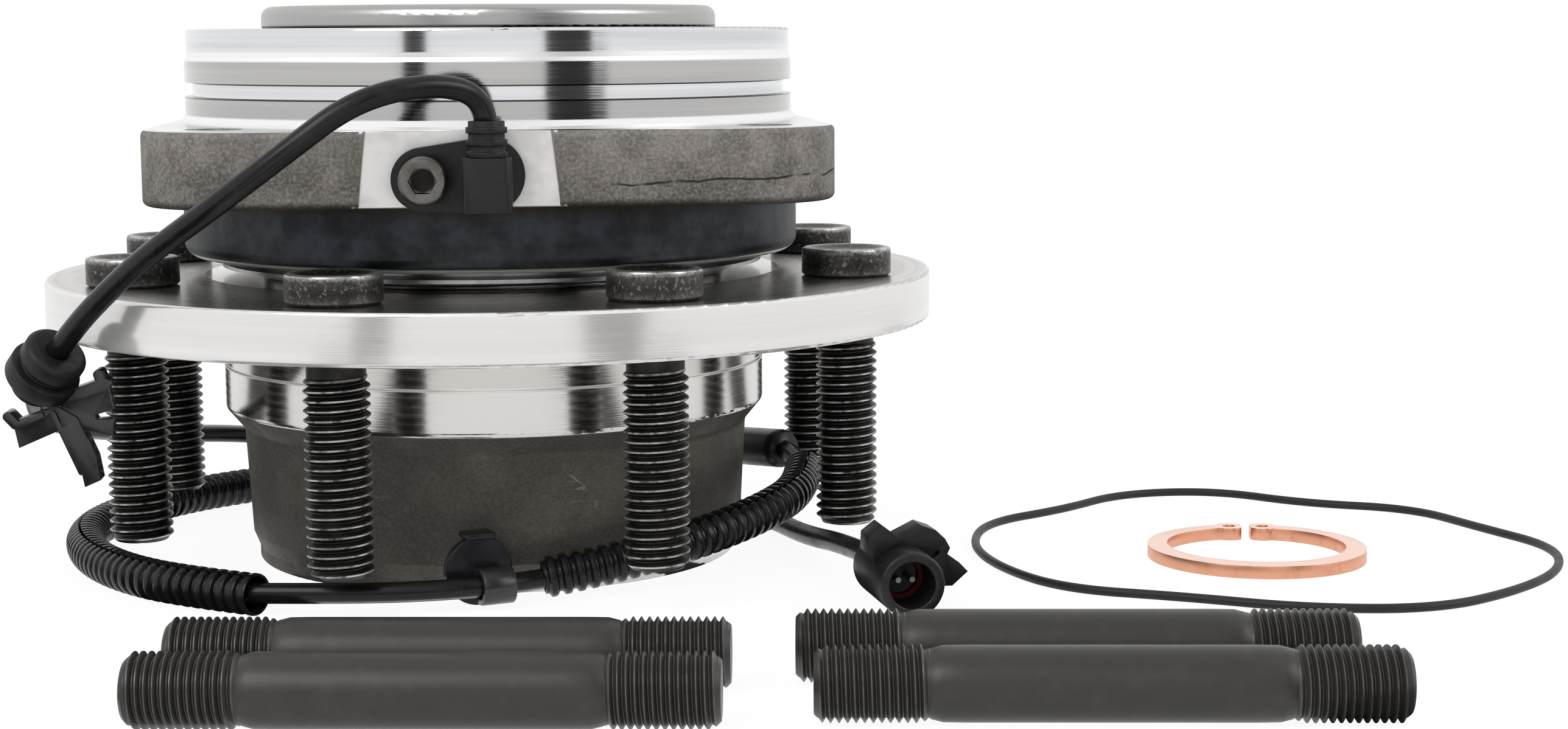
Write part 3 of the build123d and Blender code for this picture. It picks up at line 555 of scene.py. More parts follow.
@dataclass(frozen=True)
class HubSteel(TurnedSteel):
    """The hub: turned flange, pilot and lip, with a forged skin left on the barrel."""

    name: str = "hub_steel"
    forged: Zone = Zone(2.6, 35.3, 0.35, inner=50.0, round_edge=0.3)
    # Towards the left the forged skin's dark colour reaches down over the barrel's bottom chamfer: painted shade from
    # the lead and conduit in front of it.
    forged_bottom_painted_shade: float = -1.0
    left: Ramp = Ramp(2.0, 16.0)
    forged_dark: Colour = (0.06, 0.054, 0.046)
    forged_light: Colour = (0.15, 0.137, 0.118)
    forged_mottle: float = 0.22
    forged_patch: float = 0.3
    forged_speckle: float = 0.5
    forged_roughness: float = 0.6
    forged_sheen: float = 0.12
    forged_oxide: float = 0.6
    pilot: Zone = Zone(35.9, 44.9, 0.2, outer=63.5)
    pilot_tint: Colour = (0.68, 0.66, 0.64)
    # The near-white line along the pilot's step is a painted highlight.
    pilot_step: Zone = Zone(44.9, 45.6, outer=63.5)
    pilot_step_painted_highlight: Colour = (0.95, 0.94, 0.93)
    pilot_step_dulling: float = 0.25
    neck: Zone = Zone(45.6, 55.0, outer=63.5)
    neck_tint: Colour = (0.6, 0.575, 0.55)
    rim: Zone = Zone(54.5, 66.5, inner=100.6, round_edge=0.3)
    rim_tint: Colour = (0.84, 0.83, 0.82)
    rim_shade: Colour = (0.78, 0.77, 0.76)
    rim_oxide: float = 0.5
    face: Zone = Zone(65.9, 66.5, 0.05, inner=66.0, round_edge=0.3)
    face_dulling: float = 0.14
    lip: Zone = Zone(121.4)
    lip_tint: Colour = (0.43, 0.425, 0.42)
    # Painted shadow: a dark band under the lip's rounded edge.
    lip_shadow_zone: Zone = Zone(120.0, 122.3, 0.4)
    lip_painted_shadow: Colour = (0.07, 0.06, 0.052)
    scuff_spacing: float = 11.0 * MM
    scuff_amount: float = 0.8
    scuff_tint: Colour = (0.42, 0.4, 0.37)
    scuffed_across: float = 6.0 * MM
    scuffed_height: float = 22.0 * MM
    scuffed_width: Ramp = Ramp(10.0, 17.0)
    scuffed_rise: Ramp = Ramp(3.0, 7.0)
    scuffed_share: float = 0.8

    def scuffs(self, coat: Coat, across: Any, height: Any) -> Any:
        """Mask of the scratches, most of them in one spot on the barrel.

        Args:
            coat: builder of the material.
            across: position to the right of the hub axis.
            height: height above the barrel's end.

        Returns:
            The mask.
        """
        scratches = coat.group(coat.groups.scuffs, self.scuff_spacing, self.scuff_amount)[0]
        beside = coat.falling(coat.off(across, self.scuffed_across), self.scuffed_width)
        level = coat.falling(coat.off(height, self.scuffed_height), self.scuffed_rise)
        spot = coat.linear(coat.times(beside, level), self.scuffed_share, 1.0 - self.scuffed_share)
        return coat.times(scratches, spot)

    def dress(self, coat: Coat) -> None:
        """Tint each turned face in its zone and lay the forged skin over the barrel.

        Args:
            coat: builder of the material.
        """
        lines, grain, streak = self.textures(coat)
        across, _, height = coat.axes()
        # Painted shade: towards the left the forged colour is carried down over the bottom chamfer.
        left = coat.rising(coat.times(across, -1.0), self.left)
        bottom = coat.blend(left, self.forged.bottom * MM, self.forged_bottom_painted_shade * MM)
        forged = coat.zone(self.forged, bottom)
        rim, face, lip, ridge = (coat.zone(zone) for zone in (self.rim, self.face, self.lip, self.pilot_step))
        bright = coat.layers(
            coat.mix(streak, self.shade, self.tint),
            (coat.zone(self.pilot), self.pilot_tint),
            (coat.zone(self.neck), self.neck_tint),
            # painted highlight along the pilot's step
            (ridge, self.pilot_step_painted_highlight),
            (rim, coat.mix(streak, self.rim_shade, self.rim_tint)),
            (lip, self.lip_tint),
            # painted shadow under the lip
            (coat.zone(self.lip_shadow_zone), self.lip_painted_shadow),
        )
        mottle = coat.linear(grain["Patch"], self.forged_patch, self.forged_mottle)
        mottle = coat.linear(grain["Speckle"], self.forged_speckle, mottle, clamp=True)
        dull = coat.mix(mottle, self.forged_dark, self.forged_light)
        dull = coat.mix(self.scuffs(coat, across, height), dull, self.scuff_tint)
        rough = coat.linear(coat.math("MAXIMUM", face, lip), self.face_dulling, self.gloss(coat, lines))
        rough = coat.linear(ridge, self.pilot_step_dulling, rough)
        rough_forged = coat.linear(grain["Patch"], -self.forged_sheen, self.forged_roughness)
        coat.shade({
            "Base Color": coat.mix(forged, bright, dull),
            "Roughness": coat.blend(forged, rough, rough_forged),
            "Metallic": coat.linear(rim, -self.rim_oxide, coat.linear(forged, -self.forged_oxide, 1.0)),
        })
        self.cut(coat, lines, coat.times(grain["Height"], forged))


@dataclass(frozen=True)
class RingSteel(TurnedSteel):
    """The outer ring: ground pilot, blued band, and a flange left as cast with a milled sensor pad."""

    name: str = "ring_steel"
    roughness: float = 0.1
    anisotropy: float = 0.35
    tint: Colour = (0.76, 0.765, 0.78)
    shade: Colour = (0.62, 0.63, 0.65)
    grain_size: float = 0.75 * MM
    patch_size: float = 7.0 * MM
    grain_depth: float = 0.24 * MM
    grain_strength: float = 0.75
    band_foot: Zone = Zone(70.0, 71.5, inner=65.0)
    band_foot_tint: Colour = (0.5, 0.5, 0.46)
    band_foot_oxide: float = 0.7
    band: Zone = Zone(71.5, 84.7, 0.3)
    blue_dark: Colour = (0.02, 0.022, 0.025)
    blue_light: Colour = (0.045, 0.052, 0.062)
    blue_streak: Colour = (0.085, 0.085, 0.085)
    blue_streaks: float = 0.3
    brown: Colour = (0.03, 0.026, 0.021)
    browned: Ramp = Ramp(80.0, 84.5, 0.7)
    band_roughness: float = 0.46
    band_relief: float = 0.2
    cast: Zone = Zone(84.5, 100.5, inner=70.7)
    cast_dark: Colour = (0.085, 0.075, 0.064)
    cast_light: Colour = (0.3, 0.28, 0.255)
    cast_patch: float = 0.38
    cast_speckle: float = 0.62
    # Painted light towards the flange's top and painted shade at its foot.
    cast_top_painted_light: Ramp = Ramp(86.0, 100.0, 0.25)
    cast_foot_painted_shade: Colour = (0.022, 0.018, 0.015)
    cast_painted_shade_end: Ramp = Ramp(85.0, 86.6, 0.75)
    cast_roughness: float = 0.68
    cast_oxide: float = 0.65
    ground: Zone = Zone(102.5, 114.4, inner=69.15)
    ground_dark: Colour = (0.45, 0.445, 0.44)
    ground_light: Colour = (0.52, 0.515, 0.51)
    # The chamfers' near-white bands are painted highlights, made partly non-metallic so that they show from every side.
    chamfers: tuple[Zone, Zone] = (Zone(114.4, 116.6, 0.3), Zone(100.5, 102.5, 0.3))
    chamfer_painted_highlight: Colour = (0.93, 0.93, 0.93)
    chamfer_dulling: float = 0.2
    chamfer_highlight_nonmetal_share: float = 0.3
    # The near-black lines at the groove's edges are painted shade.
    groove_edges: tuple[Zone, Zone] = (Zone(106.2, 106.62, 0.08), Zone(109.35, 109.77, 0.08))
    groove_edge_painted_shade: Colour = (0.05, 0.05, 0.05)
    pad_front: float = -73.2 * MM
    pad_back: float = -72.7 * MM
    pad_centre: float = -6.9 * MM
    pad_half_low: float = 21.0 * MM
    pad_half_high: float = 19.1 * MM
    pad_low: float = 84.9 * MM
    pad_high: float = 100.6 * MM
    pad_margin: float = -1.0 * MM
    pad_light: Colour = (0.84, 0.83, 0.82)
    pad_dark: Colour = (0.7, 0.69, 0.675)
    pad_border: Colour = (0.12, 0.115, 0.11)
    pad_border_end: Ramp = Ramp(0.15, 0.5, 0.8)
    pad_roughness: float = 0.42
    pad_oxide: float = 0.3
    seam_height: float = 88.5 * MM
    seam_slope: float = 0.03
    seam_wander: float = 2.6 * MM
    seam_waves: float = 90.0
    seam_width: Ramp = Ramp(0.12, 0.34)
    seam_gaps: float = 130.0
    seam_start: Ramp = Ramp(22.0, 28.0)
    seam_front: Ramp = Ramp(40.0, 50.0)
    seam_tint: Colour = (0.02, 0.017, 0.014)

    def pad_inset(self, coat: Coat, across: Any, height: Any) -> Any:
        """Distance inside the pad's slanted sides.

        Args:
            coat: builder of the material.
            across: position across the pad.
            height: height above the ground.

        Returns:
            The distance, positive inside.
        """
        share = coat.math("DIVIDE", coat.math("SUBTRACT", height, self.pad_low), self.pad_high - self.pad_low)
        half = coat.blend(share, self.pad_half_low, self.pad_half_high)
        return coat.math("SUBTRACT", half, coat.off(across, self.pad_centre))

    def seam(self, coat: Coat, across: Any, depth: Any, height: Any) -> Any:
        """Mask of the wavy flash line on the front of the flange.

        Args:
            coat: builder of the material.
            across: position across the flange.
            depth: position towards the back.
            height: height above the ground.

        Returns:
            The mask.
        """
        wander = coat.math("SUBTRACT", coat.noise(self.seam_waves, 3.0), 0.5)
        level = coat.linear(wander, self.seam_wander, coat.linear(across, self.seam_slope, self.seam_height))
        line = coat.falling(coat.off(height, level), self.seam_width)
        gaps = coat.step(coat.noise(self.seam_gaps, 2.0), 0.36, 0.5)
        right = coat.rising(across, self.seam_start)
        return coat.times(line, gaps, right, coat.rising(coat.times(depth, -1.0), self.seam_front))

    def cast_skin(self, coat: Coat, grain: Any, height: Any, seam: Any) -> Any:
        """Colour of the cast skin, with painted shade at the flange's foot and painted light towards its top.

        Args:
            coat: builder of the material.
            grain: the grain's outputs.
            height: height above the ground.
            seam: mask of the flash line.

        Returns:
            The colour.
        """
        speckle = coat.linear(grain["Patch"], self.cast_patch, coat.times(grain["Speckle"], self.cast_speckle))
        # painted light: the skin is lifted paler towards the flange's top
        light = coat.math("ADD", speckle, coat.rising(height, self.cast_top_painted_light), clamp=True)
        skin = coat.mix(light, self.cast_dark, self.cast_light)
        # painted shade at the flange's foot
        foot = coat.falling(height, self.cast_painted_shade_end)
        return coat.layers(skin, (foot, self.cast_foot_painted_shade), (seam, self.seam_tint))

    def blued_skin(self, coat: Coat, lines: Any, grain: Any, height: Any) -> Any:
        """Colour of the blued band, browner at its top.

        Args:
            coat: builder of the material.
            lines: the lines' outputs.
            grain: the grain's outputs.
            height: height above the ground.

        Returns:
            The colour.
        """
        return coat.layers(
            coat.mix(grain["Patch"], self.blue_dark, self.blue_light),
            (coat.times(lines["Streak"], self.blue_streaks), self.blue_streak),
            (coat.rising(height, self.browned), self.brown),
        )

    def dress(self, coat: Coat) -> None:
        """Lay the cast skin and the blued band over the ground steel, each in its zone.

        Args:
            coat: builder of the material.
        """
        lines, grain, streak = self.textures(coat)
        across, depth, height = coat.axes()
        inset = self.pad_inset(coat, across, height)
        pad = coat.times(
            coat.math("GREATER_THAN", depth, self.pad_front), coat.math("LESS_THAN", depth, self.pad_back),
            coat.math("GREATER_THAN", inset, self.pad_margin),
        )
        border = coat.falling(coat.math("ABSOLUTE", inset), self.pad_border_end)
        milled = coat.mix(border, coat.mix(grain["Patch"], self.pad_light, self.pad_dark), self.pad_border)
        band, foot = coat.zone(self.band), coat.zone(self.band_foot)
        cast = coat.times(coat.zone(self.cast), coat.rest(pad))
        chamfer = coat.math("MAXIMUM", *(coat.zone(zone) for zone in self.chamfers))
        bright = coat.layers(
            coat.mix(streak, self.shade, self.tint),
            (foot, self.band_foot_tint),
            (coat.zone(self.ground), coat.mix(streak, self.ground_dark, self.ground_light)),
            # painted highlight on the chamfers
            (chamfer, self.chamfer_painted_highlight),
            # painted shade at the groove's edges
            *((coat.zone(edge), self.groove_edge_painted_shade) for edge in self.groove_edges),
            (pad, milled),
        )
        skin = self.cast_skin(coat, grain, height, self.seam(coat, across, depth, height))
        rough = coat.linear(chamfer, self.chamfer_dulling, self.gloss(coat, lines))
        rough = coat.blend(pad, rough, self.pad_roughness)
        rough_skin = coat.blend(band, self.cast_roughness, self.band_roughness)
        metal: Any = 1.0
        for mask, oxide in (
            (chamfer, self.chamfer_highlight_nonmetal_share), (pad, self.pad_oxide), (foot, self.band_foot_oxide), (cast, self.cast_oxide),
        ):
            metal = coat.linear(mask, -oxide, metal)
        coat.shade({
            "Base Color": coat.layers(bright, (cast, skin), (band, self.blued_skin(coat, lines, grain, height))),
            "Roughness": coat.blend(coat.math("MAXIMUM", band, cast), rough, rough_skin),
            "Metallic": metal,
        })
        self.cut(coat, lines, coat.times(grain["Height"], coat.linear(band, self.band_relief, cast)))


@dataclass(frozen=True)
class BlackSteel(Finish):
    """Black steel with bright worn crests and edges."""

    name: str = "black_steel"
    base: Colour = (0.022, 0.021, 0.02)
    patch: Colour = (0.05, 0.047, 0.044)
    worn: Colour = (0.55, 0.54, 0.52)
    roughness: float = 0.4
    worn_roughness: float = 0.3
    grain_swing: float = 0.16
    metallic: float = 0.75
    grain: float = 0.5 * MM
    grain_depth: float = 0.02 * MM
    mark_size: float = 5.0 * MM
    wear_start: float = 0.8
    wear_end: float = 0.98
    wear_patch: float = 3.0 * MM
    chip_start: float = 0.3
    chip_patch: float = 0.7 * MM
    chipped: float = 0.6
    flecked: float = 0.5
    fleck_scale: float = 1100.0
    heads: Zone = Zone(66.1)

    def dress(self, coat: Coat) -> None:
        """Mottle the black, bare the crests and chip the heads' edges.

        Args:
            coat: builder of the material.
        """
        skin = coat.group(coat.groups.moulded_skin, self.grain, self.mark_size)
        wear = coat.group(coat.groups.crest_wear, self.wear_start, self.wear_end, self.wear_patch)[0]
        chips = coat.group(coat.groups.crest_wear, self.chip_start, 1.0, self.chip_patch)[0]
        heads = coat.zone(self.heads)
        flecks = coat.times(coat.step(coat.noise(self.fleck_scale, 3.0), 0.55, 0.66), self.flecked)
        spots = coat.times(coat.math("MAXIMUM", chips, flecks), heads, self.chipped)
        bare = coat.math("MAXIMUM", wear, spots)
        rough = coat.linear(skin["Grain"], self.grain_swing, self.roughness - self.grain_swing / 2)
        coat.shade({
            "Base Color": coat.mix(bare, coat.mix(skin["Marks"], self.base, self.patch), self.worn),
            "Roughness": coat.blend(wear, rough, self.worn_roughness),
            "Normal": coat.bump(skin["Grain"], self.grain_depth, 0.5),
            "Metallic": self.metallic,
        })


@dataclass(frozen=True)
class Moulding(Finish):
    """Moulded plastic or rubber."""

    name: str
    base: Colour
    marked: Colour
    roughness: float = 0.45
    shine: float = 0.28
    mark_swing: float = 0.14
    unmarked: float = 0.05
    grain: float = 0.4 * MM
    grain_depth: float = 0.015 * MM
    mark_size: float = 6.0 * MM

    def dress(self, coat: Coat) -> None:
        """Grain the skin and dull it where it was handled.

        Args:
            coat: builder of the material.
        """
        skin = coat.group(coat.groups.moulded_skin, self.grain, self.mark_size)
        coat.shade({
            "Base Color": coat.mix(skin["Marks"], self.base, self.marked),
            "Roughness": coat.linear(skin["Marks"], self.mark_swing, self.roughness - self.unmarked),
            "Normal": coat.bump(skin["Grain"], self.grain_depth, 0.6),
            "Specular IOR Level": self.shine,
        })


@dataclass(frozen=True)
class PlainMetal(Finish):
    """Stamped, plated or ground metal with slight unevenness."""

    name: str
    base: Colour
    marked: Colour
    roughness: float = 0.32
    grain_swing: float = 0.14
    grain: float = 0.6 * MM
    grain_depth: float = 0.012 * MM
    mark_size: float = 4.0 * MM

    def colour(self, coat: Coat, marks: Any) -> Any:
        """Colour of the metal, with a mask of its marks."""
        return coat.mix(marks, self.base, self.marked)

    def dress(self, coat: Coat) -> None:
        """Cloud the metal and roughen it a little.

        Args:
            coat: builder of the material.
        """
        skin = coat.group(coat.groups.moulded_skin, self.grain, self.mark_size)
        coat.shade({
            "Base Color": self.colour(coat, skin["Marks"]),
            "Roughness": coat.linear(skin["Grain"], self.grain_swing, self.roughness - self.grain_swing / 2),
            "Normal": coat.bump(skin["Grain"], self.grain_depth, 0.6),
            "Metallic": 1.0,
        })


@dataclass(frozen=True)
class PlatedRing(PlainMetal):
    """Copper-coloured plating, with painted light on the flat top face."""

    name: str = "snap_ring_plated"
    base: Colour = (0.8, 0.4, 0.26)
    marked: Colour = (0.68, 0.31, 0.19)
    roughness: float = 0.33
    ring_top_painted_light: Colour = (0.95, 0.68, 0.57)
    top: Zone = Zone(2.84, edge=0.02)

    def colour(self, coat: Coat, marks: Any) -> Any:
        """Colour of the plating, with painted light on the top face."""
        return coat.mix(coat.zone(self.top), super().colour(coat, marks), self.ring_top_painted_light)


@dataclass(frozen=True)
class SocketScrew(PlainMetal):
    """Zinc-plated screw head, with painted shade in its socket."""

    name: str = "screw_zinc"
    base: Colour = (0.17, 0.16, 0.152)
    marked: Colour = (0.1, 0.085, 0.072)
    roughness: float = 0.4
    # Painted shade inside the hex socket.
    socket: Colour = (0.02, 0.019, 0.018)
    across: float = -14.2 * MM
    height: float = 90.8 * MM
    socket_inner: float = 2.2 * MM
    socket_outer: float = 2.8 * MM

    def colour(self, coat: Coat, marks: Any) -> Any:
        """Colour of the plating, with painted shade inside the socket.

        Args:
            coat: builder of the material.
            marks: mask of the plating's marks.

        Returns:
            The colour.
        """
        across, _, height = coat.axes()
        beside = coat.math("SUBTRACT", across, self.across)
        above = coat.math("SUBTRACT", height, self.height)
        reach = coat.math("SQRT", coat.linear(beside, beside, coat.times(above, above)))
        # painted shade inside the socket, fading out to the plating
        plated = coat.step(reach, self.socket_inner, self.socket_outer)
        return coat.mix(plated, self.socket, super().colour(coat, marks))


# ---------------------------------------------------------------- meshes


@contextmanager
def edited(mesh: bpy.types.Mesh) -> Iterator[bmesh.types.BMesh]:
    """Open a mesh for editing and write it back.

    Args:
        mesh: the mesh to edit.

    Yields:
        Its editable copy.
    """
    work = bmesh.new()
    work.from_mesh(mesh)
    yield work
    work.to_mesh(mesh)
    work.free()


def linked(name: str, data: Any) -> bpy.types.Object:
    """Put data in the scene as an object.

    Args:
        name: the object's name.
        data: a mesh, curve, light or camera.

    Returns:
        The object.
    """
    obj = bpy.data.objects.new(name, data)
    bpy.context.scene.collection.objects.link(obj)
    return obj


def dressed(name: str, mesh: bpy.types.Mesh, finish: Finish, sharp: float) -> bpy.types.Object:
    """Put a mesh in the scene with a finish.

    Args:
        name: the object's name.
        mesh: its mesh.
        finish: its finish.
        sharp: angle in degrees above which an edge stays sharp.

    Returns:
        The object.
    """
    mesh.materials.clear()
    mesh.materials.append(finish.material())
    mesh.polygons.foreach_set("use_smooth", [True] * len(mesh.polygons))
    mesh.set_sharp_from_angle(angle=math.radians(sharp))
    return linked(name, mesh)


def baked(obj: bpy.types.Object) -> bpy.types.Mesh:
    """Plain mesh of an object with its modifiers applied; the object itself is removed.

    Args:
        obj: the object to bake.

    Returns:
        The mesh.
    """
    bpy.context.view_layer.update()
    graph = bpy.context.evaluated_depsgraph_get()
    mesh = bpy.data.meshes.new_from_object(obj.evaluated_get(graph))
    bpy.data.objects.remove(obj)
    return mesh


def seated(piece: bpy.types.Object, node: str, body: Body = Body.FIXED) -> bpy.types.Object:
    """Let a piece stand for its node and ride on its body.

    Args:
        piece: the new piece.
        node: the CAD node.
        body: the body it rides on.

    Returns:
        The same piece.
    """
    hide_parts(node)
    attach(piece, body.value)
    log.info("%s ready", node)
    return piece


def softened(node: str, finish: Finish, width: float) -> bpy.types.Object:
    """Copy of a CAD node with rounded edges, standing for that node on the fixed ring.

    Args:
        node: the CAD node.
        finish: its finish.
        width: width of the rounding.

    Returns:
        The new piece.
    """
    flat, sharp = math.radians(1.0), math.radians(32.0)
    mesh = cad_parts[node].data.copy()
    with edited(mesh) as work:
        bmesh.ops.remove_doubles(work, verts=work.verts, dist=1e-6)
        bmesh.ops.dissolve_limit(work, angle_limit=flat, verts=work.verts, edges=work.edges)
    blank = linked(node + "_blank", mesh)
    bevel = blank.modifiers.new("edge", "BEVEL")
    bevel.width = width
    bevel.segments = 2
    bevel.limit_method = "ANGLE"
    bevel.angle_limit = sharp
    bevel.use_clamp_overlap = True
    bevel.miter_outer = "MITER_ARC"
    return seated(dressed(node + "_look", baked(blank), finish, 40.0), node)


def nurbs(name: str, points: Sequence[Point], resolution: int, closed: bool = False) -> bpy.types.Object:
    """NURBS curve through control points, with no thickness.

    Args:
        name: the object's name.
        points: the control points, in millimetres.
        resolution: points between two control points.
        closed: whether it is a loop.

    Returns:
        The curve object, linked to the scene.
    """
    data = bpy.data.curves.new(name, "CURVE")
    data.dimensions = "3D"
    data.resolution_u = resolution
    spline = data.splines.new("NURBS")
    spline.points.add(len(points) - 1)
    for control, point in zip(spline.points, points):
        control.co = (*(value * MM for value in point), 1.0)
    spline.order_u = 3
    spline.use_endpoint_u = not closed
    spline.use_cyclic_u = closed
    return linked(name, data)


@dataclass
class Thread:
    """One external thread with a chamfered start."""

    major: float
    depth: float
    pitch: float
    low: float
    high: float
    chamfer: float
    fade: float

    def surface(self, height: float, crest: float) -> tuple[float, float]:
        """Radius and clamped height of a thread row.

        Args:
            height: height of the row before clamping.
            crest: 1 on the crest and 0 in the root.

        Returns:
            The radius and the height.
        """
        end = self.major - self.chamfer
        if height <= self.low:
            return end, self.low
        if height >= self.high:
            return self.major - self.depth, self.high
        share = min(1.0, (self.high - height) / self.fade)
        radius = self.major - self.depth * (1.0 - crest * share)
        return min(radius, end + (height - self.low)), height


class Shell:
    """Points and faces of one piece while it is built, with a wear value for each point."""

    thread_form = ((0.06, 0.0), (0.43, 1.0), (0.57, 1.0), (0.94, 0.0))

    def __init__(self) -> None:
        """Start empty."""
        self.points: list[Vector] = []
        self.wear: list[float] = []
        self.faces: list[tuple[int, ...]] = []

    def ring(self, points: Sequence[Vector], wear: float = 0.0) -> list[int]:
        """Add a row of points.

        Args:
            points: where they are.
            wear: how worn they are, from 0 to 1.

        Returns:
            Their indices.
        """
        start = len(self.points)
        self.points.extend(points)
        self.wear.extend([wear] * len(points))
        return list(range(start, len(self.points)))

    def bridge(self, rows: Sequence[Sequence[int]]) -> None:
        """Join closed rows with quads, each to the next.

        Args:
            rows: the rows' indices.
        """
        for low, high in zip(rows, rows[1:]):
            for index in range(len(low)):
                after = (index + 1) % len(low)
                self.faces.append((low[index], low[after], high[after], high[index]))

    def turned(self, profile: Sequence[Point], segments: int, place: Matrix = Matrix.Identity(4)) -> None:
        """Turn a closed profile about Z.

        Args:
            profile: (radius, height, wear) rows from the bottom's centre to the top's.
            segments: faces round the axis.
            place: where the piece goes.
        """
        angles = [2 * math.pi * index / segments for index in range(segments)]
        self.bridge([
            self.ring([place @ Vector((radius * math.cos(a), radius * math.sin(a), height)) for a in angles], wear)
            for radius, height, wear in profile
        ])

    def threaded(self, thread: Thread, segments: int, place: Matrix = Matrix.Identity(4)) -> None:
        """Cut a helical thread, closed at both ends.

        Args:
            thread: the thread's sizes.
            segments: faces round the axis.
            place: where the piece goes.
        """
        turns = math.ceil((thread.high - thread.low) / thread.pitch) + 1
        rows = [(turn - 1 + share, crest) for turn in range(turns + 1) for share, crest in self.thread_form]
        grid = []
        for index in range(segments):
            column = []
            angle = 2 * math.pi * index / segments
            for along, crest in rows:
                height = thread.low + (along + index / segments) * thread.pitch
                radius, level = thread.surface(height, crest)
                point = Vector((radius * math.cos(angle), radius * math.sin(angle), level))
                column.extend(self.ring([place @ point], crest * (1.0 if thread.low < height < thread.high else 0.5)))
            grid.append(column)
        for index in range(segments):
            shift = 0 if index + 1 < segments else len(self.thread_form)
            here, after = grid[index], grid[(index + 1) % segments]
            for row in range(len(rows) - 1 - shift):
                self.faces.append((here[row], after[row + shift], after[row + 1 + shift], here[row + 1]))

    def swept(self, line: Sequence[Vector], section: Callable[[float, float], float], segments: int) -> None:
        """Sweep a section along a line, leaving its ends open.

        Args:
            line: points of the line.
            section: radius from the angle round the line and the length along it.
            segments: faces round the line.
        """
        rows = []
        travelled = 0.0
        side = Vector((0, 0, 1))
        for index, point in enumerate(line):
            before = line[max(index - 1, 0)]
            after = line[min(index + 1, len(line) - 1)]
            along = (after - before).normalized()
            travelled += (point - before).length
            side = (side - along * side.dot(along)).normalized()
            across = along.cross(side)
            row = []
            for step in range(segments):
                angle = 2 * math.pi * step / segments
                radius = section(angle, travelled)
                row.append(point + (side * math.cos(angle) + across * math.sin(angle)) * radius)
            rows.append(self.ring(row))
        self.bridge(rows)

    def piece(self, name: str, finish: Finish, sharp: float = 35.0) -> bpy.types.Object:
        """Make the mesh object, with its doubles merged, its ends closed and its faces outwards.

        Args:
            name: the object's name.
            finish: its finish.
            sharp: angle in degrees above which an edge stays sharp.

        Returns:
            The object.
        """
        mesh = bpy.data.meshes.new(name)
        mesh.from_pydata([tuple(point) for point in self.points], [], self.faces)
        mesh.attributes.new("wear", "FLOAT", "POINT").data.foreach_set("value", self.wear)
        with edited(mesh) as work:
            bmesh.ops.remove_doubles(work, verts=work.verts, dist=1e-7)
            bmesh.ops.dissolve_degenerate(work, edges=work.edges, dist=1e-8)
            bmesh.ops.holes_fill(work, edges=[edge for edge in work.edges if edge.is_boundary], sides=0)
            bmesh.ops.recalc_face_normals(work, faces=work.faces)
        return dressed(name, mesh, finish, sharp)


# ---------------------------------------------------------------- geometry node trees


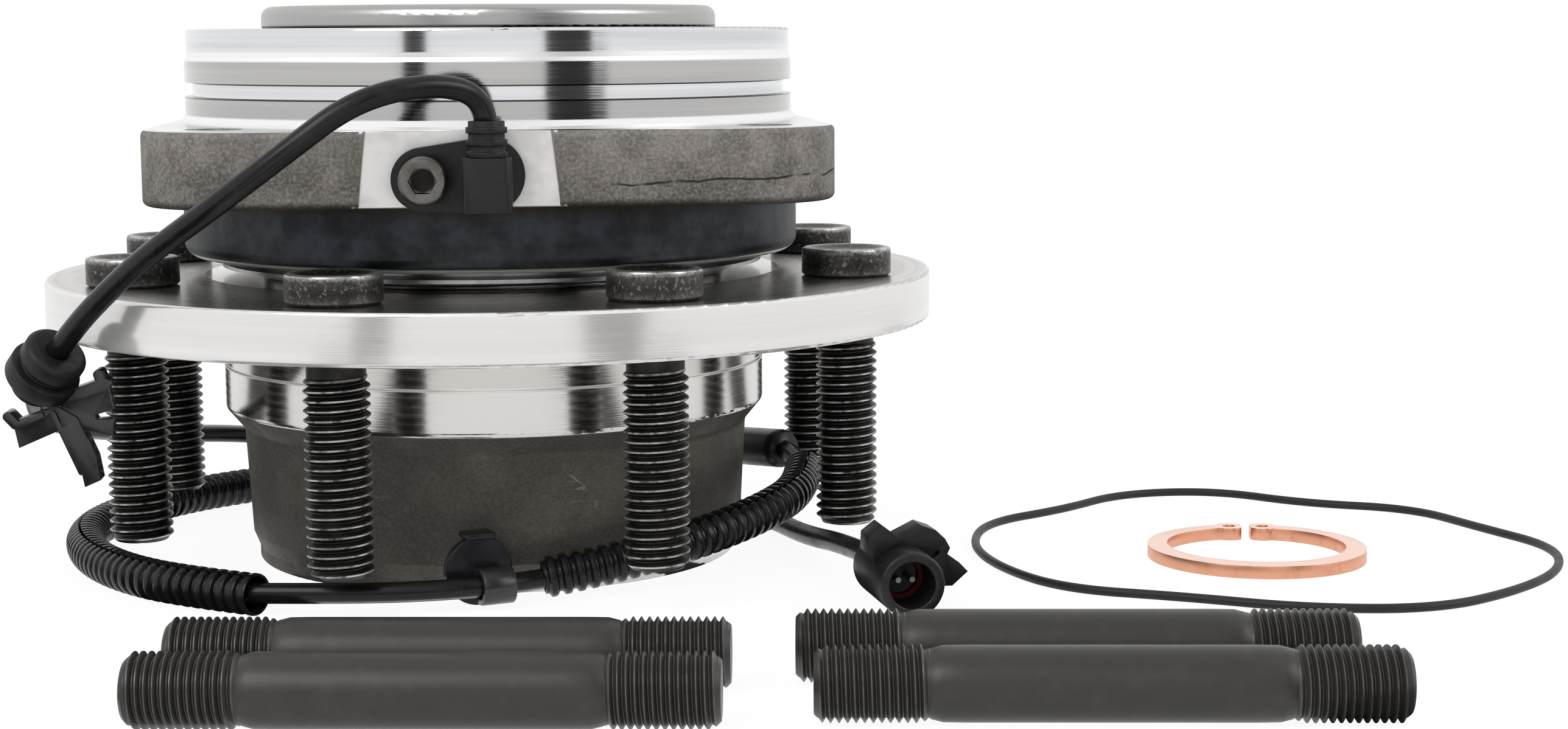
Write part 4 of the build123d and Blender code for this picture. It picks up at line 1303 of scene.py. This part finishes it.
class CopyTrees:
    """Geometry node trees for what repeats."""

    kind = "GeometryNodeTree"
    arc_points = 28
    crest_gain, crest_level, crest_share, crown = 1.5, 0.95, 0.82, 0.09

    def __init__(self) -> None:
        """Build both trees."""
        self.stud_circle = self._stud_circle()
        self.ribbed_tube = self._ribbed_tube()

    def _stud_circle(self) -> bpy.types.NodeTree:
        """Copies of a stud on a circle, each turned about its own axis by a seeded amount.

        Returns:
            The tree.
        """
        tree = Group("stud_circle", {
            "Geometry": Socket.GEOMETRY, "Count": 8, "Circle Radius": 0.085, "Phase": 0.0, "Seed": 7,
            "Material": Socket.MATERIAL,
        }, ["Geometry"], self.kind)
        given = tree.given
        circle = tree.add("GeometryNodeMeshCircle", {"Vertices": given["Count"], "Radius": given["Circle Radius"]})
        phase = tree.add("ShaderNodeCombineXYZ", {2: given["Phase"]})
        turned = tree.add("GeometryNodeTransform", {"Geometry": circle.outputs[0], "Rotation": phase.outputs[0]})
        chance = tree.add("FunctionNodeRandomValue", {3: 2 * math.pi, "Seed": given["Seed"]}, data_type="FLOAT")
        spin = tree.add("ShaderNodeCombineXYZ", {2: chance.outputs[1]})
        copies = tree.add("GeometryNodeInstanceOnPoints", {
            "Points": turned.outputs[0], "Instance": given["Geometry"], "Rotation": spin.outputs[0],
        })
        return tree.close_geometry(copies.outputs[0])

    def _ribbed_tube(self) -> bpy.types.NodeTree:
        """Corrugated tube along a curve, with a slit along one side.

        Returns:
            The tree.
        """
        tree = Group("ribbed_tube", {
            "Geometry": Socket.GEOMETRY, "Rib Pitch": 2.95 * MM, "Crest Radius": 4.5 * MM, "Groove Radius": 3.8 * MM,
            "Steps": 10.0, "Slit Side": 0.0, "Slit Width": 0.14, "Material": Socket.MATERIAL,
        }, ["Geometry"], self.kind)
        given = tree.given
        pitch, groove, slit = given["Rib Pitch"], given["Groove Radius"], given["Slit Width"]
        even = tree.add("GeometryNodeResampleCurve", {
            "Curve": given["Geometry"], "Length": tree.math("DIVIDE", pitch, given["Steps"]),
        }, mode="LENGTH")
        upright = tree.add("GeometryNodeSetCurveNormal", {"Curve": even.outputs[0]}, mode="Z_UP")
        along = tree.add("GeometryNodeSplineParameter").outputs["Length"]
        wave = tree.math("SINE", tree.times(tree.math("DIVIDE", along, pitch), 2 * math.pi))
        crest = tree.times(tree.linear(wave, self.crest_gain, self.crest_level, clamp=True), self.crest_share)
        ridge = tree.linear(tree.math("ADD", wave, 1.0), self.crown, crest)
        radius = tree.linear(ridge, tree.math("SUBTRACT", given["Crest Radius"], groove), groove)
        ring = tree.add("GeometryNodeCurveArc", {
            "Resolution": self.arc_points, "Radius": 1.0, "Start Angle": tree.linear(slit, 0.5, given["Slit Side"]),
            "Sweep Angle": tree.math("SUBTRACT", 2 * math.pi, slit),
        }, mode="RADIUS")
        tube = tree.add("GeometryNodeCurveToMesh", {
            "Curve": upright.outputs[0], "Profile Curve": ring.outputs[0], "Scale": radius,
        })
        return tree.close_geometry(tube.outputs[0])

    @staticmethod
    def grow(obj: bpy.types.Object, tree: bpy.types.NodeTree, values: dict[str, Any]) -> None:
        """Put a tree on an object with its inputs set.

        Args:
            obj: the object.
            tree: the geometry node tree.
            values: input values by name.
        """
        modifier = obj.modifiers.new(tree.name, "NODES")
        modifier.node_group = tree
        for item in tree.interface.items_tree:
            if item.item_type == "SOCKET" and item.in_out == "INPUT" and item.name in values:
                modifier[item.identifier] = values[item.name]


# ---------------------------------------------------------------- the unit's pieces


@dataclass
class WheelStuds:
    """Eight pressed-in wheel studs."""

    trees: CopyTrees
    finish: Finish
    count: int = 8
    circle: float = 85.0 * MM
    phase: float = 22.5
    seed: int = 11
    radius: float = 6.85 * MM
    pitch: float = 2.0 * MM
    depth: float = 1.05 * MM
    chamfer: float = 1.3 * MM
    fade: float = 2.4 * MM
    end: float = 9.8 * MM
    thread_end: float = 52.4 * MM
    neck_start: float = 51.0 * MM
    neck: float = 6.1 * MM
    flange_top: float = 66.0 * MM
    head: float = 10.0 * MM
    head_height: float = 6.4 * MM
    head_edge: float = 0.7 * MM
    dish: float = 7.6 * MM
    dish_depth: float = 0.7 * MM
    segments: int = 40

    def head_profile(self) -> list[Point]:
        """Shape of the neck and the dished head.

        Returns:
            Its (radius, height, wear) rows from the bottom's centre to the top's.
        """
        base, top, edge = self.flange_top, self.flange_top + self.head_height, self.head_edge
        return [
            (0.0, self.neck_start, 0.0), (self.neck, self.neck_start, 0.0), (self.neck, base, 0.0),
            (self.head - edge, base + 0.02 * MM, 0.4), (self.head, base + edge, 0.55),
            (self.head, base + 2.6 * MM, 0.35), (self.head, top - edge - 0.6 * MM, 0.5),
            (self.head, top - edge, 0.85), (self.head - 0.3 * edge, top - 0.3 * edge, 1.0),
            (self.head - edge, top, 1.0), (self.dish + 0.6 * MM, top, 0.8), (self.dish, top - 0.2 * MM, 0.5),
            (self.dish - 1.2 * MM, top - self.dish_depth, 0.2), (0.0, top - self.dish_depth - 0.1 * MM, 0.1),
        ]

    def build(self) -> bpy.types.Object:
        """Make one stud and copy it round the hub.

        Returns:
            The eight studs as one piece.
        """
        one = Shell()
        sizes = (self.radius, self.depth, self.pitch, self.end, self.thread_end, self.chamfer, self.fade)
        one.threaded(Thread(*sizes), self.segments)
        one.turned(self.head_profile(), self.segments)
        stud = one.piece("wheel_stud_blank", self.finish)
        CopyTrees.grow(stud, self.trees.stud_circle, {
            "Count": self.count, "Circle Radius": self.circle, "Phase": math.radians(self.phase),
            "Seed": self.seed, "Material": self.finish.material(),
        })
        piece = dressed("wheel_studs_look", baked(stud), self.finish, 35.0)
        return seated(piece, "wheel_studs", Body.HUB)


@dataclass
class MountingStud:
    """Double-ended knuckle stud lying on the ground."""

    node: str
    finish: Finish
    centre: tuple[float, float]
    side: int
    turn: float = -7.5
    radius: float = 6.85 * MM
    length: float = 104.0 * MM
    thread_length: float = 20.6 * MM
    pitch: float = 1.5 * MM
    depth: float = 0.92 * MM
    chamfer: float = 1.5 * MM
    core: float = 5.65 * MM
    waist: float = 6.72 * MM
    belly: float = 6.78 * MM
    segments: int = 48

    def place(self) -> Matrix:
        """Where the stud lies.

        Returns:
            The matrix from an upright stud to the lying one.
        """
        spot = Matrix.Translation((self.centre[0] * MM, self.centre[1] * MM, self.radius))
        lying = Matrix.Rotation(math.radians(90 * self.side), 4, "Y")
        return spot @ Matrix.Rotation(math.radians(self.turn), 4, "Z") @ lying

    def build(self) -> bpy.types.Object:
        """Make the shank and both threads.

        Returns:
            The stud.
        """
        shell = Shell()
        place = self.place()
        half = self.length / 2
        shank = half - self.thread_length
        thread = Thread(self.radius, self.depth, self.pitch, -half, -shank, self.chamfer, 1.2 * self.pitch)
        for end in (place, place @ Matrix.Rotation(math.pi, 4, "X")):
            shell.threaded(thread, self.segments, end)
        rows = [
            (0.0, shank + 1.0 * MM, 0.0), (self.core, shank + 1.0 * MM, 0.0), (self.waist - 0.5 * MM, shank, 0.1),
            (self.waist, shank - 2.0 * MM, 0.3), (self.belly, shank - 6.0 * MM, 0.2),
        ]
        mirrored = [(radius, -height, wear) for radius, height, wear in rows]
        shell.turned(mirrored + rows[::-1], self.segments, place)
        return seated(shell.piece(self.node + "_look", self.finish), self.node)


@dataclass
class Route:
    """One stretch of the harness: listed points in millimetres and the radius of what follows them."""

    node: str
    points: Sequence[Point]
    radius: float
    slot: str
    length: float

    def curve(self) -> bpy.types.Object:
        """NURBS curve through the stretch's control points, linked to the scene."""
        return nurbs(self.node + "_line", self.points, 16)

    def line(self) -> list[Vector]:
        """Points of the smooth line itself, in order."""
        return [vertex.co.copy() for vertex in baked(self.curve()).vertices]


SENSOR_LEAD = Route("sensor_lead", (
    (-1.2, -81.95, 101.5), (-1.5, -82.6, 105.4), (-4.6, -85.0, 108.9), (-11.5, -88.6, 110.2),
    (-20.5, -92.6, 109.0), (-29.0, -94.8, 105.6), (-38.0, -95.6, 99.0), (-48.5, -93.6, 91.2),
    (-59.0, -88.4, 83.6), (-69.5, -80.6, 76.2), (-80.0, -71.5, 67.0), (-87.2, -65.2, 59.4),
    (-92.6, -60.2, 52.5),
), 2.35 * MM, "lead_jacket", 128.2 * MM)
REAR_LEAD = Route("rear_lead", (
    (-94.6, -58.0, 49.4), (-97.8, -48.0, 44.0), (-99.6, -32.0, 38.0), (-99.6, -14.0, 33.2), (-97.6, 8.0, 28.6),
    (-92.2, 33.0, 24.0), (-81.6, 56.5, 19.8), (-66.2, 75.6, 16.6), (-47.0, 89.4, 12.0), (-28.0, 90.6, 5.6),
    (-4.0, 84.4, 4.4), (16.0, 75.2, 5.0), (33.0, 65.4, 6.8), (46.4, 54.2, 11.6), (57.6, 38.2, 16.8),
), 2.35 * MM, "lead_jacket", 294.6 * MM)
SPLICE_SLEEVE = Route("splice_sleeve", (
    (57.0, 39.4, 16.6), (69.4, 12.0, 19.6),
), 4.7 * MM, "sleeve_plastic", 30.2 * MM)
SLEEVE_LEAD = Route("sleeve_lead", (
    (68.8, 13.4, 19.4), (71.4, 5.4, 18.9), (72.3, -3.4, 17.1),
), 2.35 * MM, "lead_jacket", 17.4 * MM)
RIGHT_CONDUIT = Route("right_conduit", (
    (72.3, -2.0, 17.0), (69.6, -19.5, 15.4), (60.2, -37.4, 13.6), (45.0, -52.0, 11.0), (25.0, -61.0, 7.2),
    (9.0, -62.6, 4.9),
), 4.5 * MM, "conduit_plastic", 97.2 * MM)
FRONT_LEAD = Route("front_lead", (
    (11.0, -62.6, 4.9), (1.6, -68.6, 4.9), (-10.6, -72.8, 4.9), (-29.0, -73.6, 4.8), (-52.0, -69.0, 4.6),
), 2.35 * MM, "lead_jacket", 65.7 * MM)
LEFT_CONDUIT = Route("left_conduit", (
    (-50.5, -70.4, 4.55), (-65.0, -60.6, 4.55), (-79.4, -46.6, 4.55), (-91.0, -25.6, 4.55), (-96.4, 0.0, 4.55),
    (-93.4, 22.4, 4.55), (-84.0, 44.0, 4.55), (-68.0, 62.6, 4.55), (-49.0, 75.6, 4.55),
), 4.5 * MM, "conduit_plastic", 180.5 * MM)
PLUG_LEAD = Route("plug_lead", (
    (-51.0, 74.2, 4.5), (-31.0, 69.4, 3.2), (-6.0, 66.6, 2.6), (19.0, 61.8, 2.6), (43.0, 48.6, 2.6),
    (58.6, 29.0, 2.6), (66.8, 7.0, 2.6), (71.4, -15.0, 3.2), (77.4, -38.5, 5.7), (80.9, -62.6, 7.2),
), 2.35 * MM, "lead_jacket", 217.6 * MM)


@dataclass
class Harness:
    """The sensor's leads, splice sleeve and conduits."""

    trees: CopyTrees
    jacket: Finish
    sleeve: Finish
    conduit: Finish
    core_side: float = 0.4
    groove_depth: float = 0.42 * MM
    groove_width: float = 0.34
    lead_segments: int = 20
    sleeve_steps: int = 60
    sleeve_segments: int = 28
    mouth_length: float = 2.2 * MM
    mouth_depth: float = 0.9 * MM
    ring_spots: tuple[float, float] = (5.0 * MM, 7.2 * MM)
    ring_depth: float = 0.25 * MM
    ring_width: float = 0.35 * MM
    rib_pitch: float = 2.95 * MM
    rib_groove: float = 3.6 * MM
    wall: float = 0.45 * MM
    slit_side: float = -1.9
    lines: dict[str, list[Vector]] = field(default_factory=dict)

    def lead(self, route: Route) -> bpy.types.Object:
        """Make one bare lead: a jacket moulded round two cores, with a groove down each side.

        Args:
            route: where it runs.

        Returns:
            The lead.
        """
        def section(angle: float, _along: float) -> float:
            """Radius at one angle."""
            sides = (self.core_side, self.core_side + math.pi)
            off = min(abs(math.remainder(angle - side, 2 * math.pi)) for side in sides)
            return route.radius - self.groove_depth * math.exp(-((off / self.groove_width) ** 2))

        line = self.lines[route.node] = route.line()
        return self._swept(route, line, section, self.lead_segments, self.jacket)

    def ringed_sleeve(self, route: Route) -> bpy.types.Object:
        """Make the smooth splice sleeve, with a shrunk mouth at each end and two rings near its start.

        Args:
            route: where it runs.

        Returns:
            The sleeve.
        """
        start, end = [Vector(point) * MM for point in route.points]
        whole = (end - start).length

        def section(_angle: float, along: float) -> float:
            """Radius along the sleeve."""
            mouth = max(0.0, 1.0 - min(along, whole - along) / self.mouth_length)
            rings = sum(math.exp(-(((along - spot) / self.ring_width) ** 2)) for spot in self.ring_spots)
            return route.radius - self.mouth_depth * mouth**2 - self.ring_depth * rings

        line = [start.lerp(end, index / self.sleeve_steps) for index in range(self.sleeve_steps + 1)]
        return self._swept(route, line, section, self.sleeve_segments, self.sleeve)

    @staticmethod
    def _swept(
        route: Route, line: Sequence[Vector], section: Callable[[float, float], float], segments: int, finish: Finish,
    ) -> bpy.types.Object:
        """Sweep a section along a line and seat the result.

        Args:
            route: the stretch.
            line: points of its line.
            section: its radius.
            segments: faces round the line.
            finish: its finish.

        Returns:
            The piece.
        """
        shell = Shell()
        shell.swept(line, section, segments)
        return seated(shell.piece(route.node + "_look", finish, 60.0), route.node)

    def ribbed(self, route: Route) -> bpy.types.Object:
        """Make one corrugated conduit with open ends.

        Args:
            route: where it runs.

        Returns:
            The conduit.
        """
        self.lines[route.node] = route.line()
        curve = route.curve()
        CopyTrees.grow(curve, self.trees.ribbed_tube, {
            "Rib Pitch": self.rib_pitch, "Crest Radius": route.radius, "Groove Radius": self.rib_groove,
            "Slit Side": self.slit_side, "Material": self.conduit.material(),
        })
        skin = linked(route.node + "_skin", baked(curve))
        wall = skin.modifiers.new("wall", "SOLIDIFY")
        wall.thickness = self.wall
        wall.offset = -1.0
        mesh = baked(skin)
        with edited(mesh) as work:
            bmesh.ops.recalc_face_normals(work, faces=work.faces)
        return seated(dressed(route.node + "_look", mesh, self.conduit, 50.0), route.node)

    def build(self, fittings: dict[str, bpy.types.Object]) -> None:
        """Args:
            fittings: the clips, grommet and plug pieces by node name; not used.
        """
        sensor, rear = self.lead(SENSOR_LEAD), self.lead(REAR_LEAD)
        sleeve, tail = self.ringed_sleeve(SPLICE_SLEEVE), self.lead(SLEEVE_LEAD)
        right, front = self.ribbed(RIGHT_CONDUIT), self.lead(FRONT_LEAD)
        left, plug = self.ribbed(LEFT_CONDUIT), self.lead(PLUG_LEAD)


@dataclass
class KitRings:
    """The loose O-ring and the snap ring."""

    rubber: Finish
    plated: Finish
    section: float = 1.0 * MM
    height: float = 1.02
    snap_edge: float = 0.16 * MM
    loop: Sequence[tuple[float, float]] = (
        (109.7, -19.0), (118.5, 6.7), (140.9, 21.3), (159.9, 41.0), (185.6, 42.1), (203.3, 21.3), (227.6, 10.4),
        (234.9, -16.0), (243.1, -41.5), (233.9, -66.7), (215.7, -86.0), (192.9, -100.4), (166.4, -96.4),
        (144.0, -82.2), (120.2, -70.8), (110.6, -45.3),
    )

    def build(self) -> None:
        """Make the O-ring along its slack loop and round the snap ring's edges."""
        blank = nurbs("pilot_o_ring_blank", [(x, y, self.height) for x, y in self.loop], 12, closed=True)
        blank.data.bevel_depth = self.section
        blank.data.bevel_resolution = 5
        ring = dressed("pilot_o_ring_look", baked(blank), self.rubber, 60.0)
        seated(ring, "pilot_o_ring")
        softened("axle_snap_ring", self.plated, self.snap_edge)


# ---------------------------------------------------------------- studio


@dataclass(frozen=True)
class Flag:
    """Dark panel in the studio, between two angles to the right of straight ahead, in degrees.

    It reaches over the ground where one over the distance from the hub axis is between farthest and nearest.
    """

    low: float
    high: float
    low_shift: float
    high_shift: float
    level: float
    nearest: float = 100.0
    farthest: float = 0.0


@dataclass(frozen=True)
class Lamp:
    """Square soft lamp, in metres and watts."""

    name: str
    place: Point
    power: float
    size: float


@dataclass
class Studio:
    """Camera, ground and light."""

    camera_place: Point = (0.0, -607.9 * MM, 119.6 * MM)
    turn_right: float = 6.381
    pitch_down: float = 7.251
    roll: float = -0.268
    focal_px: float = 4253.54
    width_px: float = 2576.0
    sensor_mm: float = 36.0
    ground_half: float = 6.0
    ground_tint: Colour = (0.9, 0.9, 0.9)
    ground_glow: float = 0.88
    ground_white: float = 1.06
    world_fill: float = 0.6
    flag_edge: float = 0.7
    flag_reach: float = 0.2
    flags: tuple[Flag, ...] = (
        Flag(-28.6, -29.0, -5.6, 0.0, 0.03, farthest=1.9), Flag(13.5, 33.0, 5.6, 4.9, 0.03, farthest=1.9),
        Flag(-119.0, -103.0, 0.0, 0.0, 0.06, farthest=1.9), Flag(108.0, 123.0, 0.0, 0.0, 0.06, farthest=1.9),
        Flag(-32.0, -23.6, 0.0, 0.0, 0.05, nearest=1.9), Flag(19.75, 44.4, 0.0, -7.05, 0.05, nearest=1.9),
    )
    aim: Point = (0.0, 0.0, 0.06)
    lamps: tuple[Lamp, ...] = (Lamp("key", (-0.75, -1.0, 1.1), 9.0, 0.9), Lamp("side", (1.2, -0.6, 0.8), 5.0, 0.7))

    def camera(self) -> None:
        """Place the camera."""
        turn, pitch, roll = (math.radians(value) for value in (self.turn_right, self.pitch_down, self.roll))
        ahead = Vector((math.sin(turn) * math.cos(pitch), math.cos(turn) * math.cos(pitch), -math.sin(pitch)))
        level = Vector((math.cos(turn), -math.sin(turn), 0.0))
        upright = level.cross(ahead)
        right = level * math.cos(roll) + upright * math.sin(roll)
        up = upright * math.cos(roll) - level * math.sin(roll)
        data = bpy.data.cameras.new("camera")
        data.sensor_width = self.sensor_mm
        data.lens = self.focal_px / self.width_px * self.sensor_mm
        data.clip_start = 0.01
        data.clip_end = 50.0
        obj = linked("camera", data)
        turned = Matrix((right, up, -ahead)).transposed().to_4x4()
        obj.matrix_world = Matrix.Translation(self.camera_place) @ turned
        bpy.context.scene.camera = obj

    def dimmed(self, nodes: Nodes, place: Any, nearness: Any) -> Any:
        """Brightness that polished steel sees in one direction, with the dark flags taken out.

        Args:
            nodes: builder of the tree that needs it.
            place: a place in that direction.
            nearness: one over the distance from the hub axis, which the flags' edges shift with.

        Returns:
            The brightness.
        """
        across, depth, _ = nodes.axes(place)
        angle = nodes.times(nodes.math("ARCTAN2", across, nodes.times(depth, -1.0)), 180.0 / math.pi)
        bright: Any = 1.0
        for flag in self.flags:
            low = nodes.linear(nearness, flag.low_shift, flag.low - self.flag_edge)
            high = nodes.linear(nearness, flag.high_shift, flag.high + self.flag_edge)
            inside = nodes.times(
                nodes.window(angle, low, high, 2 * self.flag_edge),
                nodes.math("GREATER_THAN", nearness, flag.farthest),
                nodes.math("LESS_THAN", nearness, flag.nearest),
            )
            bright = nodes.times(bright, nodes.blend(inside, 1.0, flag.level))
        return bright

    def ground(self) -> None:
        """Lay a white ground that glows for the camera and keeps the shadow."""
        coat = Coat("ground")
        coat.shade({"Base Color": self.ground_tint, "Roughness": 1.0, "Specular IOR Level": 0.0})
        nearness = coat.per(coat.math("MAXIMUM", coat.radius(), self.flag_reach))
        dimmed = self.dimmed(coat, coat.place(), nearness)
        shown = coat.add("ShaderNodeEmission", {"Strength": self.ground_white}).outputs[0]
        mirrored = coat.add("ShaderNodeEmission", {"Strength": dimmed}).outputs[0]
        path = coat.add("ShaderNodeLightPath").outputs
        lit = coat.choose(coat.times(path["Is Camera Ray"], self.ground_glow), coat.shader.outputs[0], shown)
        output = coat.tree.nodes["Material Output"]
        coat.feed(output.inputs["Surface"], coat.choose(path["Is Glossy Ray"], lit, mirrored))
        half = self.ground_half
        mesh = bpy.data.meshes.new("ground")
        mesh.from_pydata([(-half, -half, 0), (half, -half, 0), (half, half, 0), (-half, half, 0)], [], [(0, 1, 2, 3)])
        mesh.materials.append(coat.material)
        linked("ground", mesh)

    def world(self) -> None:
        """White surroundings for the camera, a plain fill, and dark flags that polished steel mirrors."""
        world = bpy.data.worlds.new("studio")
        bpy.context.scene.world = world
        world.use_nodes = True
        nodes = Nodes(world.node_tree)
        fill = world.node_tree.nodes["Background"]
        white, mirrored = nodes.add("ShaderNodeBackground"), nodes.add("ShaderNodeBackground")
        for shown in (fill, white, mirrored):
            nodes.feed(shown.inputs["Color"], (1.0, 1.0, 1.0, 1.0))
        nodes.feed(fill.inputs["Strength"], self.world_fill)
        direction = nodes.add("ShaderNodeTexCoord").outputs["Generated"]
        nodes.feed(mirrored.inputs["Strength"], self.dimmed(nodes, direction, 1.0))
        path = nodes.add("ShaderNodeLightPath").outputs
        lit = nodes.choose(path["Is Glossy Ray"], fill.outputs[0], mirrored.outputs[0])
        output = world.node_tree.nodes["World Output"]
        nodes.feed(output.inputs["Surface"], nodes.choose(path["Is Camera Ray"], lit, white.outputs[0]))

    def light(self) -> None:
        """Hang the soft lamps."""
        for lamp in self.lamps:
            data = bpy.data.lights.new(lamp.name, "AREA")
            data.energy = lamp.power
            data.size = lamp.size
            obj = linked(lamp.name, data)
            obj.location = lamp.place
            obj.rotation_mode = "QUATERNION"
            obj.rotation_quaternion = (Vector(self.aim) - Vector(lamp.place)).to_track_quat("-Z", "Y")

    def build(self) -> None:
        """Set up the studio."""
        bpy.context.scene.view_settings.view_transform = "Standard"
        self.camera()
        self.ground()
        self.world()
        self.light()


def dress_nodes(finishes: dict[Finish, Sequence[str]]) -> None:
    """Give CAD nodes that stay as they are their finish.

    Args:
        finishes: node names by finish.
    """
    for finish, names in finishes.items():
        for name in names:
            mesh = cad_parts[name].data
            mesh.materials.clear()
            mesh.materials.append(finish.material())
            log.info("%s dressed", name)


def main() -> None:
    """Build the studio and every piece."""
    logging.basicConfig(level=logging.INFO, format="%(name)s: %(message)s")
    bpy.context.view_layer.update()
    Coat.groups = SharedGroups()
    trees = CopyTrees()
    Studio().build()
    log.info("studio ready")
    black = BlackSteel()
    kit_black = BlackSteel(
        name="kit_black", base=(0.036, 0.0345, 0.032), patch=(0.047, 0.044, 0.04), worn=(0.085, 0.082, 0.078),
        wear_start=0.93, chipped=0.0, metallic=0.3,
    )
    jacket = Moulding("lead_jacket", (0.007, 0.007, 0.0075), (0.013, 0.013, 0.0135), 0.3)
    conduit = Moulding("conduit_plastic", (0.008, 0.008, 0.009), (0.014, 0.014, 0.015), 0.32)
    sleeve = Moulding("sleeve_plastic", (0.009, 0.009, 0.0095), (0.017, 0.017, 0.017), 0.36)
    clip = Moulding("clip_plastic", (0.016, 0.016, 0.018), (0.036, 0.036, 0.04), 0.3, shine=0.6)
    plug = Moulding("plug_plastic", (0.008, 0.008, 0.0085), (0.015, 0.015, 0.016), shine=0.4)
    rubber = Moulding("grommet_rubber", (0.011, 0.011, 0.011), (0.02, 0.02, 0.02), 0.5)
    button = Moulding("button_plastic", (0.009, 0.0095, 0.012), (0.018, 0.019, 0.024), 0.34)
    sensor = Moulding("sensor_plastic", (0.013, 0.013, 0.0135), (0.022, 0.022, 0.022), 0.42)
    red = Moulding("plug_seal_red", (0.14, 0.008, 0.006), (0.09, 0.006, 0.005), 0.5)
    seal = Moulding("seal_rubber", (0.015, 0.015, 0.015), (0.028, 0.027, 0.026), 0.55)
    o_rubber = Moulding("o_ring_rubber", (0.016, 0.016, 0.014), (0.026, 0.026, 0.024), 0.5)
    zinc = SocketScrew()
    sheet = PlainMetal("seal_case_steel", (0.45, 0.45, 0.45), (0.33, 0.33, 0.33))
    race_steel = PlainMetal("bearing_steel", (0.6, 0.6, 0.59), (0.5, 0.5, 0.49), 0.2)
    pins = PlainMetal("pin_metal", (0.2, 0.21, 0.19), (0.12, 0.12, 0.11), 0.3)
    dress_nodes({
        HubSteel(): ["hub_spindle", "wheel_flange"],
        RingSteel(): ["outer_ring", "mount_flange"],
        race_steel: [
            "cone_outboard", "cone_inboard", "cone_spacer", "tone_ring", "axle_bush", "axle_needles",
            "rollers_outboard", "rollers_inboard",
        ],
        sheet: [
            "cage_outboard", "cage_inboard", "slinger_outboard", "slinger_inboard", "seal_case_outboard",
            "seal_case_inboard",
        ],
        seal: ["seal_lip_outboard", "seal_lip_inboard", "sensor_seal"],
        sensor: ["sensor_probe"],
        zinc: ["sensor_bush"],
        red: ["plug_seal"],
        pins: ["plug_pins"],
    })
    WheelStuds(trees, black).build()
    for node, place, side in (
        ("mounting_stud_1", (-13.8, -164.1), 1), ("mounting_stud_2", (-9.7, -137.6), 1),
        ("mounting_stud_3", (105.7, -175.0), -1), ("mounting_stud_4", (105.9, -146.2), -1),
    ):
        MountingStud(node, kit_black, place, side).build()
    fittings = {name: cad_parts[name] for name in ("plug_seal", "plug_pins")}
    for node, finish, slot, width in (
        ("sensor_body", sensor, "sensor_plastic", 0.6), ("sensor_screw", zinc, "screw_zinc", 0.25),
        ("sensor_boot", rubber, "grommet_rubber", 0.15), ("lead_grommet", rubber, "grommet_rubber", 0.3),
        ("routing_clip", clip, "clip_plastic", 0.3), ("clip_button", button, "clip_plastic", 0.4),
        ("clip_strap", clip, "clip_plastic", 0.3), ("plug_housing", plug, "plug_plastic", 0.3),
        ("plug_latch", plug, "plug_plastic", 0.3),
    ):
        fittings[node] = softened(node, finish, width * MM)
    Harness(trees, jacket, sleeve, conduit).build(fittings)
    KitRings(o_rubber, PlatedRing()).build()


if __name__ == "__main__":
    main()
